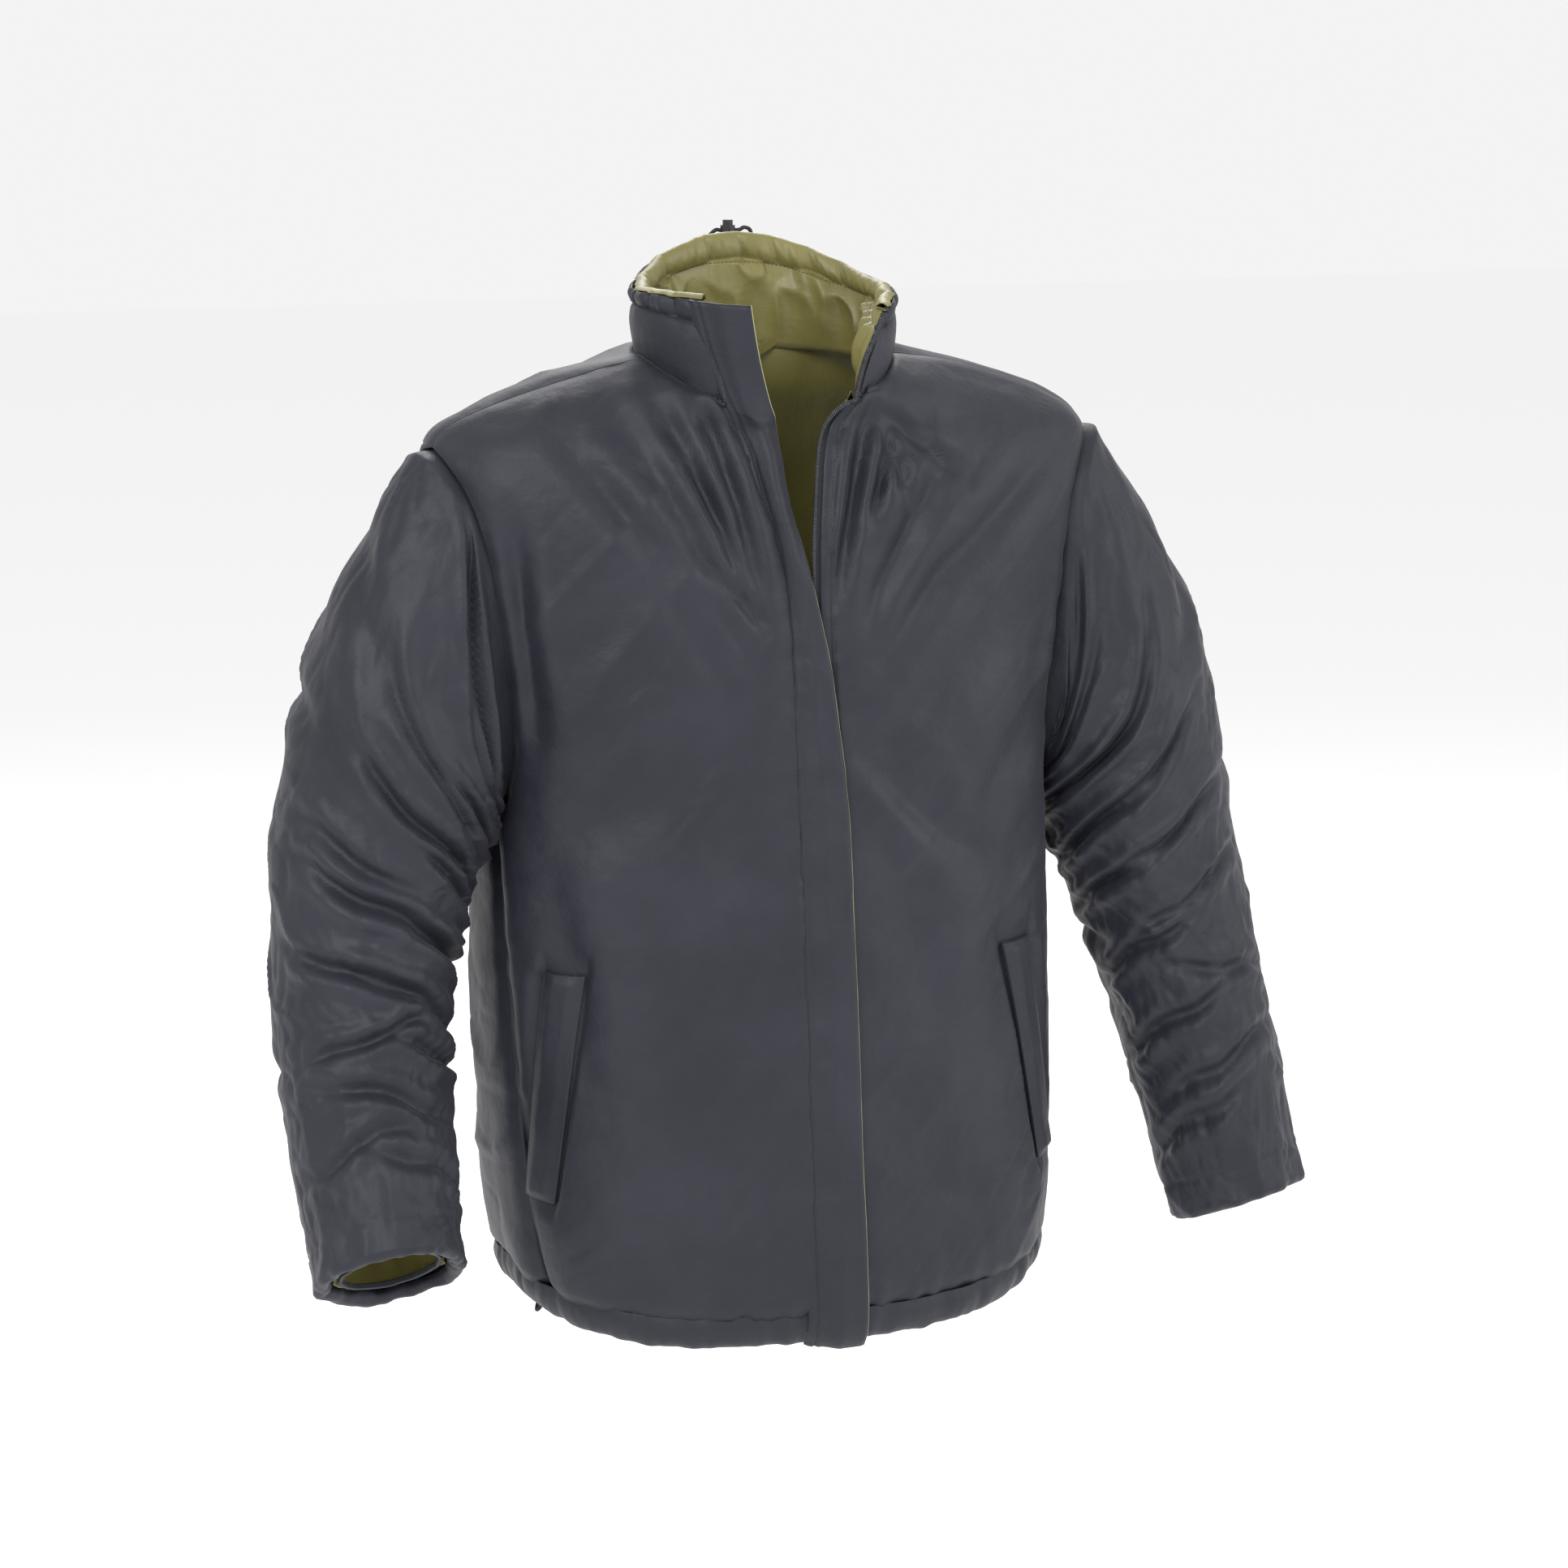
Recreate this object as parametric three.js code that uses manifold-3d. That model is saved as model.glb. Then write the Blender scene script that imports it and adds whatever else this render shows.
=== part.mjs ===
// Padded reversible thermal jacket: stand-up collar, full-length zip under a storm flap, slanted welt
// pockets, drawcords in the collar edge and the hem. Millimetres, +Z up, the front faces -Y, the
// wearer's left is +X, and the origin is the middle of the neck, level with the base of the collar.
import * as THREE from 'three';
import { mergeVertices } from 'three/addons/utils/BufferGeometryUtils.js';
import Module from 'manifold-3d';

const wasm = await Module();
wasm.setup();

// ---- driving dimensions -------------------------------------------------------------------------

// The body's outer surface, as horizontal rings from the hem up to the neck seam.
// height, half width, front depth, back depth, roundness, drop at the front, rise at the back
const BODY_RINGS = [
  [-709, 201, 152, 132, 2.5, 0, 0],
  [-684, 213, 161, 140, 2.5, 0, 0],
  [-600, 221, 151.5, 142, 2.5, 0, 0],
  [-450, 221, 134.3, 140, 2.5, 0, 0],
  [-310, 217, 118.2, 136, 2.6, 0, 0],
  [-200, 234, 105.5, 130, 2.7, 0.02, 0],
  [-100, 251, 94, 116, 2.6, 0.06, 0.02],
  [-46, 258, 78, 96, 2.3, 0.14, 0.03],
  [-20, 226, 68, 84, 2.0, 0.22, 0.03],
  [0, 170, 70, 82, 1.9, 0.32, 0.04],
  [14, 118, 76, 84, 1.9, 0.42, 0.06],
  [20, 98, 79, 83, 2.0, 0.54, 0.08],
];
const HEM_LEVEL = 0;
const CASING_TOP = 1; // where the hem casing is sewn to the panels
const ARMPIT_LEVEL = 3.95;
const SHOULDER_LEVEL = 7; // the outer end of the shoulder seam
const NECK_LEVEL = BODY_RINGS.length - 1;
const COLLAR_TOP = NECK_LEVEL + 1;
const HEM_SIDE_LIFT = 20;
const HEM_END = 9; // sideways place of each end of the hem casing

// The collar's top edge: half width, half depth, height, extra height at the back
const COLLAR_EDGE = { width: 99, depth: 78, height: 64, backRise: 33, frontDrop: 6, endDrop: 12 };

// Sleeve rings from the armhole to the cuff: centre x, y, z, tilt of the ring's width, half width,
// half depth, forward lean of the ring (degrees). The wearer's right arm bends further forward.
const SLEEVE_RINGS = {
  right: [
    [236, 2, -170, 77, 128, 68, 0],
    [267, 0, -214, 58, 104, 80, 0],
    [290, -4, -282, 34, 85, 84, 4],
    [313, -14, -362, 14, 73, 76, 10],
    [328, -36, -448, 4, 64, 68, 18],
    [334, -84, -536, 0, 59, 61, 30],
    [338, -150, -618, -2, 54, 52, 38],
  ],
  left: [
    [236, 2, -170, 77, 128, 68, 0],
    [267, 0, -214, 58, 104, 80, 0],
    [291, -4, -284, 34, 84, 84, 4],
    [311, -14, -366, 20, 71, 76, 8],
    [332, -30, -452, 16, 62, 68, 12],
    [350, -56, -548, 14, 57, 61, 16],
    [363, -92, -652, 13, 52, 52, 18],
  ],
};
const SLEEVE_END = 6;
const ARMHOLE = { centre: -8, front: 23, back: 34, blend: 1.8 };

// Layers of the padded cloth, as depths under the outer surface
const SHELL = [0, -1];
const PADDING = [-2.1, -5.3];
const POCKET_LAYER = [-5.6, -7.8];
const LINING = [-8.1, -8.9];
const SLEEVE_LINING = [-5.6, -6.4];
const COLLAR_LINING = [-5.6, -6.4];
const GAP = 0.3;

// Front closure: sideways place of each line (x) at levels from the hem up
const ZIP_LEFT = [
  [0, 2], [5.35, 2], [5.8, 3], [6.5, 9.5], [8.1, 22], [9.6, 35], [11, 45], [11.45, 54], [12, 80],
];
const ZIP_RIGHT = [
  [0, -2], [5.35, -2], [5.8, -7], [6.5, -24],
  [8.1, -37], [9.6, -44], [11, -53], [12, -66],
];
const FLAP_SEAM = [
  [0, -24], [5.1, -24], [5.6, -28], [6.4, -40],
  [8.1, -49], [9.6, -55], [11, -63], [12, -77],
];
const FLAP_EDGE = [
  [0, 21], [3.9, 21], [4.5, 16], [5.1, 9], [5.6, -2],
  [6.3, -14], [8, -15], [10, -19], [12, -37],
];
const FLAP_SPLIT = 4.6; // below this level the flap opens on its seam
const TAPE_WIDTH = 7;
const COIL_RADIUS = 1.5;
const COIL_LIFT = 1.7; // the open coil's height over the face of its tape
const ZIP_BOTTOM = { y: -161.4, z: -686 };
const ZIP_SLOPE = 0.115;
const ZIP_TOP_Z = -160; // where the two coils part
const SLIDER_Z = -176;

const POCKETS = {
  right: { topAngle: -137, bottomAngle: -147 },
  left: { topAngle: -50, bottomAngle: -38 },
};
const POCKET_LEVELS = [1.95, 3.16];
const WELT_WIDTH = 11; // degrees round the body
const CORD_RADIUS = 1.5;
const FLAP_LIFT = [0.8, 8.85]; // height of the flap's inner face over the front, at its seam and beyond
const FLAP_THICK = 2.6;
const SLIDER = { width: 9.6, plate: 1.3, length: 13, gap: 4.2, post: 0.5, pivotOut: 4.7, pivotUp: 3 };
const PULL_LENGTH = 22;
const LOCK = { bore: 4.2, wall: 1.4, back: -12, front: 6, plunger: 3.9, strands: 2.2, slot: [9.6, 3.9] };
const COLLAR_LOCK = new THREE.Vector3(2, 87, 98);
const HEM_LOOP_COLUMN = 27.5; // counted round the hem from the wearer's left front
const HEM_EYELET_LEVEL = 0.62;
const HEM_LOCK = { inward: 23.5, up: -5.5 };
const UP = new THREE.Vector3(0, 0, 1);
const HANGER = { halfLength: 34, drop: 12, stand: 10, width: 8, z: 18 };
const EYELET = { bore: 2, neck: 2.6, rim: 4.2 };
const EYELET_SEAT = -1.1; // an eyelet's middle under the face of its cloth
const COLLAR_EYELETS = [0.524, 0.5]; // shares of the way round the collar
const CORD_SHARE = 0.86; // height of the drawcord in the collar
const CHANNEL_SHARE = 0.74; // height of the stitching under the drawcord channel

const CHARCOAL = { color: 0x34343b, roughness: 0.72, metalness: 0 };
const OLIVE = { color: 0x8a8450, roughness: 0.5, metalness: 0 };
const WADDING = { color: 0xe8e6dd, roughness: 0.95, metalness: 0 };
const BLACK_PLASTIC = { color: 0x1b1b1d, roughness: 0.45, metalness: 0 };
const BLACK_METAL = { color: 0x26262a, roughness: 0.35, metalness: 0.9 };
const BLACK_CORD = { color: 0x202024, roughness: 0.8, metalness: 0 };
const STEEL = { color: 0xb5b7ba, roughness: 0.3, metalness: 1 };

// ---- curves and surfaces ------------------------------------------------------------------------

const radians = THREE.MathUtils.degToRad;
const clamp = THREE.MathUtils.clamp;
const lerp = THREE.MathUtils.lerp;

// A Catmull-Rom curve through rows of numbers, one unit of t for each row.
function spline(rows, t) {
  const last = rows.length - 1;
  const i = clamp(Math.floor(t), 0, last - 1);
  const f = t - i;
  const row = (k) => rows[clamp(k, 0, last)];
  return row(i).map((_, c) => {
    const [p0, p1, p2, p3] = [row(i - 1)[c], row(i)[c], row(i + 1)[c], row(i + 2)[c]];
    const square = 2 * p0 - 5 * p1 + 4 * p2 - p3;
    const cube = 3 * p1 - p0 - 3 * p2 + p3;
    return 0.5 * (2 * p1 + (p2 - p0) * f + square * f * f + cube * f * f * f);
  });
}

// The value of a line given as [level, value] pairs, rounded at its corners.
function alongLine(pairs, level) {
  const straight = (l) => {
    const k = clamp(pairs.findIndex((p) => p[0] > l), 1, pairs.length - 1);
    const [a, b] = [pairs[k - 1], pairs[k]];
    return pairs.at(-1)[0] <= l ? pairs.at(-1)[1] : lerp(a[1], b[1], clamp((l - a[0]) / (b[0] - a[0]), 0, 1));
  };
  const soft = 0.25;
  return (straight(level - soft) + 2 * straight(level) + straight(level + soft)) / 4;
}

function bodyRing(level) {
  const [height, width, front, back, round, drop, rise] = spline(BODY_RINGS, clamp(level, 0, NECK_LEVEL));
  return { height, width, depth: (front + back) / 2, centre: (back - front) / 2, round, drop, rise };
}

// A point of the body's outer surface. Angle 0 is the wearer's left, -90 the front, 90 the back.
function bodyPoint(angle, level) {
  const ring = bodyRing(level);
  const [c, s] = [Math.cos(radians(angle)), Math.sin(radians(angle))];
  const k = (Math.abs(c) ** ring.round + Math.abs(s) ** ring.round) ** (-1 / ring.round);
  const y = ring.depth * k * s;
  const lean = Math.abs(y / ring.depth) ** 1.5 * ring.depth * (y < 0 ? -ring.drop : ring.rise);
  const sideLift = HEM_SIDE_LIFT * Math.abs(c) ** 3 * clamp(1.5 - level / 2, 0, 1);
  return new THREE.Vector3(ring.width * k * c, y + ring.centre, ring.height + lean + sideLift);
}

function collarPoint(angle, level) {
  const h = level - NECK_LEVEL;
  const [c, s] = [Math.cos(radians(angle)), Math.sin(radians(angle))];
  const end = COLLAR_EDGE.endDrop * THREE.MathUtils.smoothstep(-Math.abs(angle + 42), -50, -2);
  const z = COLLAR_EDGE.height + (s > 0 ? COLLAR_EDGE.backRise : -COLLAR_EDGE.frontDrop) * s * s - end;
  const top = new THREE.Vector3(COLLAR_EDGE.width * c, COLLAR_EDGE.depth * s, z);
  return bodyPoint(angle, NECK_LEVEL).lerp(top, h);
}

function outerPoint(angle, level) {
  return level > NECK_LEVEL ? collarPoint(angle, level) : bodyPoint(angle, level);
}

// The angle at which the front of a level has the sideways place x.
function frontAngle(x, level) {
  const ring = level > NECK_LEVEL ? { width: COLLAR_EDGE.width, round: 2 } : bodyRing(level);
  const share = clamp(x / ring.width, -0.98, 0.98);
  const y = -((1 - Math.abs(share) ** ring.round) ** (1 / ring.round));
  return THREE.MathUtils.radToDeg(Math.atan2(y, share));
}

const frontPoint = (x, level) => outerPoint(frontAngle(x, level), level);

// Where the front and back panels meet: the side seam, then each side of the armhole, then the shoulder.
function sideAngle(level, bulge) {
  if (level <= ARMPIT_LEVEL) {
    return lerp(-25, ARMHOLE.centre, (level / ARMPIT_LEVEL) ** 3);
  }
  if (level >= SHOULDER_LEVEL) {
    return lerp(ARMHOLE.centre, -13, (level - SHOULDER_LEVEL) / (NECK_LEVEL - SHOULDER_LEVEL));
  }
  const turn = (2 * (level - ARMPIT_LEVEL)) / (SHOULDER_LEVEL - ARMPIT_LEVEL) - 1;
  return ARMHOLE.centre + bulge * Math.sqrt(1 - turn * turn) ** 0.9;
}

// The armhole as a ring: 0 at the shoulder, a quarter turn at the front, half a turn at the armpit.
function armholePoint(turn) {
  const level = ARMPIT_LEVEL + ((SHOULDER_LEVEL - ARMPIT_LEVEL) * (1 + Math.cos(turn))) / 2;
  return bodyPoint(sideAngle(level, Math.sin(turn) >= 0 ? -ARMHOLE.front : ARMHOLE.back), level);
}

// A point of a sleeve's outer surface. The wearer's right sleeve is the left one mirrored, posed apart.
function sleevePoint(side, turn, place) {
  const [x, y, z, tilt, width, depth, lean] = spline(SLEEVE_RINGS[side], place);
  const [t, l] = [radians(tilt), radians(lean)];
  const across = new THREE.Vector3(Math.cos(t), 0, Math.sin(t));
  const along = new THREE.Vector3(Math.sin(t) * Math.cos(l), -Math.sin(l), -Math.cos(t) * Math.cos(l));
  const forward = along.cross(across).normalize();
  forward.multiplyScalar(-Math.sign(forward.y));
  const ring = new THREE.Vector3(x, y, z);
  ring.addScaledVector(across, width * Math.cos(turn)).addScaledVector(forward, depth * Math.sin(turn));
  const point = armholePoint(turn).lerp(ring, THREE.MathUtils.smoothstep(place, 0, ARMHOLE.blend));
  return side === 'right' ? point.multiply(new THREE.Vector3(-1, 1, 1)) : point;
}

// ---- solids -------------------------------------------------------------------------------------

const steps = (from, to, count) => Array.from({ length: count + 1 }, (_, i) => lerp(from, to, i / count));

// A point lifted off a surface along its normal.
function lifted(surface, u, v, height) {
  const e = 1e-3;
  const du = surface(u + e, v).sub(surface(u - e, v));
  const dv = surface(u, v + e).sub(surface(u, v - e));
  return surface(u, v).addScaledVector(du.cross(dv).normalize(), height);
}

// A sheet of cloth as a closed solid between two heights over surface(u, v).
function sheet(surface, us, vs, [outer, inner], closed = false) {
  const [nu, nv] = [us.length, vs.length];
  const positions = [outer, inner].flatMap((height) => vs.flatMap((v) => us.flatMap((u) => {
    const h = typeof height === 'function' ? height(u, v) : height;
    return lifted(surface, u, v, h).toArray();
  })));
  const at = (layer, i, j) => (layer * nv + j) * nu + (i % nu);
  const index = [];
  const quad = (a, b, c, d) => index.push(a, b, c, a, c, d);
  const spans = closed ? nu : nu - 1;
  for (let i = 0; i < spans; i += 1) {
    for (let j = 0; j < nv - 1; j += 1) {
      quad(at(0, i, j), at(0, i + 1, j), at(0, i + 1, j + 1), at(0, i, j + 1));
      quad(at(1, i, j), at(1, i, j + 1), at(1, i + 1, j + 1), at(1, i + 1, j));
    }
    quad(at(1, i, 0), at(1, i + 1, 0), at(0, i + 1, 0), at(0, i, 0));
    quad(at(0, i, nv - 1), at(0, i + 1, nv - 1), at(1, i + 1, nv - 1), at(1, i, nv - 1));
  }
  for (let j = 0; j < nv - 1 && !closed; j += 1) {
    quad(at(1, 0, j), at(0, 0, j), at(0, 0, j + 1), at(1, 0, j + 1));
    quad(at(0, nu - 1, j), at(1, nu - 1, j), at(1, nu - 1, j + 1), at(0, nu - 1, j + 1));
  }
  const geometry = new THREE.BufferGeometry();
  geometry.setAttribute('position', new THREE.Float32BufferAttribute(positions, 3));
  geometry.setIndex(index);
  return geometry;
}

function toSolid(geometry) {
  const bare = geometry.clone();
  bare.deleteAttribute('normal');
  bare.deleteAttribute('uv');
  const merged = mergeVertices(bare, 1e-4);
  const vertProperties = new Float32Array(merged.attributes.position.array);
  const triVerts = new Uint32Array(merged.index.array);
  return new wasm.Manifold(new wasm.Mesh({ numProp: 3, vertProperties, triVerts }));
}

function toGeometry(solid) {
  const mesh = solid.simplify(0.12).getMesh();
  const geometry = new THREE.BufferGeometry();
  geometry.setAttribute('position', new THREE.BufferAttribute(mesh.vertProperties, 3));
  geometry.setIndex(new THREE.BufferAttribute(mesh.triVerts, 1));
  return geometry;
}

function cut(geometry, ...tools) {
  return toGeometry(tools.reduce((solid, tool) => solid.subtract(toSolid(tool)), toSolid(geometry)));
}

const join = (...parts) => toGeometry(parts.map(toSolid).reduce((a, b) => a.add(b)));

// What is left of a geometry after the cuts, without the small offcuts.
function trimmed(geometry, ...tools) {
  const largest = (solid) => solid.decompose().reduce((a, b) => (a.volume() > b.volume() ? a : b));
  const rough = largest(tools.reduce((s, t) => s.subtract(toSolid(t)), toSolid(geometry)));
  return toGeometry(largest(toSolid(toGeometry(rough))));
}

// A path of straight lines, stepped at its own points.
class Polyline extends THREE.Curve {
  constructor(points) {
    super();
    this.points = points;
  }

  getPoint(t) {
    const place = clamp(t, 0, 1) * (this.points.length - 1);
    const i = Math.min(Math.floor(place), this.points.length - 2);
    return this.points[i].clone().lerp(this.points[i + 1], place - i);
  }

  getPointAt(t) {
    return this.getPoint(t);
  }

  getTangentAt(t) {
    return this.getTangent(t);
  }
}

function tubeAlong(extrudePath, count, radius, sides) {
  const section = new THREE.Shape();
  for (let k = 0; k < sides; k += 1) {
    const a = (2 * Math.PI * k) / sides;
    section[k ? 'lineTo' : 'moveTo'](radius * Math.cos(a), radius * Math.sin(a));
  }
  return new THREE.ExtrudeGeometry(section, { steps: count, extrudePath, bevelEnabled: false });
}

// Tubes along a smooth curve through the points, and along straight lines between them.
function tube(points, radius, count, sides = 8) {
  return tubeAlong(new THREE.CatmullRomCurve3(points), count, radius, sides);
}

const straightTube = (points, radius) => tubeAlong(new Polyline(points), points.length - 1, radius, 8);

function box(width, depth, height, x = 0, y = 0, z = 0) {
  return new THREE.BoxGeometry(width, depth, height).translate(x, y, z);
}

const jacket = new THREE.Group();
jacket.name = 'padded_jacket';

function add(name, geometry, finish, parent = jacket) {
  const mesh = new THREE.Mesh(geometry, new THREE.MeshStandardMaterial(finish));
  mesh.name = name;
  parent.add(mesh);
  return mesh;
}

// ---- body panels --------------------------------------------------------------------------------

const armholeLevels = Array.from({ length: 6 }, (_, k) => {
  const share = (1 - Math.cos((Math.PI * k) / 6)) / 2;
  return lerp(ARMPIT_LEVEL, SHOULDER_LEVEL, share);
});
const panelLevels = [...steps(CASING_TOP, ARMPIT_LEVEL, 4).slice(0, -1), ...armholeLevels,
  ...steps(SHOULDER_LEVEL, NECK_LEVEL, 3)];
panelLevels[panelLevels.length - 1] -= 0.015;
const SEAM_GAP = 0.12; // degrees left at each panel edge
const BLOCK_SPARE = 0.6; // degrees that a cutting block goes past its panel
const FRONT_COLUMNS = 6;
const BACK_COLUMNS = 10;

function frontEdge(side, level) {
  const zip = side === 'left' ? alongLine(ZIP_LEFT, level) : alongLine(ZIP_RIGHT, level);
  return frontAngle(zip + (side === 'left' ? 1 : -1) * TAPE_WIDTH, level);
}

function frontSurface(side, spare = SEAM_GAP) {
  return (u, level) => {
    const seam = sideAngle(level, -ARMHOLE.front);
    const [from, to] = side === 'left'
      ? [frontEdge('left', level) + spare, seam - spare]
      : [-180 - seam + spare, frontEdge('right', level) - spare];
    return bodyPoint(lerp(from, to, u), level);
  };
}

function backSurface(spare = SEAM_GAP) {
  return (u, level) => {
    const seam = sideAngle(level, ARMHOLE.back);
    return bodyPoint(lerp(seam + spare, 180 - seam - spare, u), level);
  };
}

const PANELS = [
  ['back', backSurface(), backSurface(-BLOCK_SPARE), BACK_COLUMNS],
  ['right_front', frontSurface('right'), frontSurface('right', -BLOCK_SPARE), FRONT_COLUMNS],
  ['left_front', frontSurface('left'), frontSurface('left', -BLOCK_SPARE), FRONT_COLUMNS],
];
const fullThickness = [0.8, LINING[1] - 0.6];
const panelBlocks = PANELS.flatMap(([, surface, wide, columns]) => {
  return [surface, wide].map((one) => sheet(one, steps(0, 1, columns), panelLevels, fullThickness));
});

// A point on the closed zip's straight chain, at height z and sideways place x.
function onChain(z, x = 0) {
  return new THREE.Vector3(x, ZIP_BOTTOM.y + 0.5 + ZIP_SLOPE * (z - ZIP_BOTTOM.z), z);
}

const zipRows = [
  ...panelLevels.slice(0, -1), NECK_LEVEL, NECK_LEVEL + 0.4, NECK_LEVEL + CHANNEL_SHARE, COLLAR_TOP - 0.02,
];

// The line of a zip half, moved sideways by x.
function zipSurface(side) {
  return (x, level) => frontPoint(alongLine(side === 'left' ? ZIP_LEFT : ZIP_RIGHT, level) + x, level);
}

function tapeEdges(side) {
  const [inner, outer] = [COIL_RADIUS + 1.1, TAPE_WIDTH - 1.7];
  return side === 'left' ? [inner, outer] : [-outer, -inner];
}

function coilPath(side) {
  const x = side === 'left' ? 2 : -2;
  const closed = [ZIP_BOTTOM.z, ...steps(-600, ZIP_TOP_Z, 3)].map((z) => onChain(z, x));
  const open = zipRows.slice(0, -1).filter((level) => level > 5.4);
  return [...closed, ...open.map((level) => lifted(zipSurface(side), 0, level, COIL_LIFT))];
}

const coilBlocks = ['left', 'right'].map((side) => straightTube(coilPath(side), COIL_RADIUS + GAP));
const tapeBlocks = ['left', 'right'].map((side) => {
  return sheet(zipSurface(side), tapeEdges(side), zipRows, [GAP, -0.9 - GAP]);
});

const HEM_COLUMNS = 36;
const hemColumns = steps(0, 1, HEM_COLUMNS);
const hemAngle = (u) => lerp(frontAngle(HEM_END, 0), 360 + frontAngle(-HEM_END, 0), u);
const hemSurface = (u, level) => bodyPoint(hemAngle(u), level);
const hemBlock = sheet(hemSurface, hemColumns, [HEM_LEVEL - 0.1, CASING_TOP + 0.012], fullThickness);

function addPanels() {
  for (const [name, surface, , columns] of PANELS) {
    const tools = [hemBlock, ...coilBlocks, ...tapeBlocks];
    const layer = (heights) => trimmed(sheet(surface, steps(0, 1, columns), panelLevels, heights), ...tools);
    add(`${name}_shell`, layer(SHELL), CHARCOAL);
    add(`${name}_padding`, layer(PADDING), WADDING);
    add(`${name}_lining`, layer(LINING), OLIVE);
  }
}

// ---- sleeves and cuffs --------------------------------------------------------------------------

const AROUND_SLEEVE = 12;
const sleeveTurns = steps(0, 2 * Math.PI, AROUND_SLEEVE).slice(0, -1);
const CUFF_START = SLEEVE_END - 0.3;
const sleevePlaces = [0.6, 1.3, 2.1, 3, 4, 5, CUFF_START, SLEEVE_END];

function addSleeve(side) {
  const way = side === 'left' ? 1 : -1;
  const surface = (turn, place) => sleevePoint(side, way * turn, place);
  const tubeOf = (layer, places) => sheet(surface, sleeveTurns, places, layer, true);
  const fitted = (layer, first) => trimmed(tubeOf(layer, [first, ...sleevePlaces]), ...panelBlocks);
  add(`${side}_sleeve_shell`, fitted(SHELL, 0), CHARCOAL);
  add(`${side}_sleeve_padding`, fitted(PADDING, 0.1), WADDING);
  add(`${side}_sleeve_lining`, tubeOf(SLEEVE_LINING, sleevePlaces.slice(1)), OLIVE);
  const band = [SLEEVE_LINING[1] - GAP, SLEEVE_LINING[1] - 2.3];
  add(`${side}_cuff_elastic`, tubeOf(band, [CUFF_START, SLEEVE_END - 0.04]), BLACK_CORD);
}

// ---- collar -------------------------------------------------------------------------------------

const COLLAR_COLUMNS = 22;
const CHANNEL_LEVEL = NECK_LEVEL + CHANNEL_SHARE;

function collarSurface(u, level) {
  const from = frontEdge('left', level) + SEAM_GAP;
  const to = 360 + frontEdge('right', level) - SEAM_GAP;
  return collarPoint(lerp(from, to, u), Math.max(level, NECK_LEVEL + 1e-6));
}

const collarBlock = sheet(collarSurface, steps(0, 1, COLLAR_COLUMNS), [NECK_LEVEL + 0.012, COLLAR_TOP + 0.1],
  [GAP, COLLAR_LINING[1] - GAP]);

function addCollar() {
  const us = steps(0, 1, COLLAR_COLUMNS);
  const levels = [NECK_LEVEL + 0.012, NECK_LEVEL + 0.4, CHANNEL_LEVEL, COLLAR_TOP];
  const tools = [...panelBlocks, ...coilBlocks, ...tapeBlocks];
  const layer = (heights, rows) => trimmed(sheet(collarSurface, us, rows, heights), ...tools);
  const eyelets = COLLAR_EYELETS.map(collarEyelet).map(({ place, outward }) => eyelet(place, outward));
  add('collar_shell', cut(layer(SHELL, levels), ...eyelets.map(([hole]) => hole)), CHARCOAL);
  add('collar_padding', layer(PADDING, levels.slice(0, 3)), WADDING);
  add('collar_lining', layer(COLLAR_LINING, levels), OLIVE);
  const route = us.map((u) => lifted(collarSurface, clamp(u, 0.01, 0.99), NECK_LEVEL + CORD_SHARE, -3.75));
  add('collar_drawcord', straightTube(route, CORD_RADIUS), BLACK_CORD);
  add('collar_eyelet_outer', eyelets[0][1], BLACK_METAL);
  add('collar_eyelet_inner', eyelets[1][1], BLACK_METAL);
}

// Where an eyelet goes through the collar's outer cloth, near the middle of the back.
function collarEyelet(u) {
  const level = NECK_LEVEL + CORD_SHARE;
  const place = lifted(collarSurface, u, level, EYELET_SEAT);
  const outward = lifted(collarSurface, u, level, 1).sub(lifted(collarSurface, u, level, 0));
  return { place, outward };
}

// An eyelet as [the hole it needs in the cloth, its ring].
function eyelet(place, outward) {
  const turn = new THREE.Quaternion().setFromUnitVectors(new THREE.Vector3(0, 1, 0), outward);
  const seat = (geometry) => geometry.applyQuaternion(turn).translate(place.x, place.y, place.z);
  const hole = seat(new THREE.CylinderGeometry(EYELET.neck + GAP, EYELET.neck + GAP, 8, 10));
  const profile = [
    [EYELET.bore, -0.6], [EYELET.neck, -0.6], [EYELET.neck, 1.2], [EYELET.rim, 1.2], [EYELET.rim, 2],
    [EYELET.bore, 2], [EYELET.bore, -0.6],
  ].map(([r, h]) => new THREE.Vector2(r, h));
  return [hole, seat(new THREE.LatheGeometry(profile, 10))];
}


// ---- front closure ------------------------------------------------------------------------------


function addZipSide(side) {
  add(`zip_tape_${side}`, sheet(zipSurface(side), tapeEdges(side), zipRows, [-0.1, -0.9]), CHARCOAL);
  add(`zip_coil_${side}`, straightTube(coilPath(side), COIL_RADIUS), BLACK_PLASTIC);
  const stop = lifted(zipSurface(side), 0, COLLAR_TOP - 0.045, COIL_LIFT);
  add(`zip_top_stop_${side}`, box(3.4, 3.6, 2.2, stop.x, stop.y, stop.z), BLACK_METAL);
}

function chainGroup(z) {
  const group = new THREE.Group();
  group.position.copy(onChain(z));
  group.rotation.x = -Math.atan(ZIP_SLOPE);
  jacket.add(group);
  return group;
}

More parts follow.
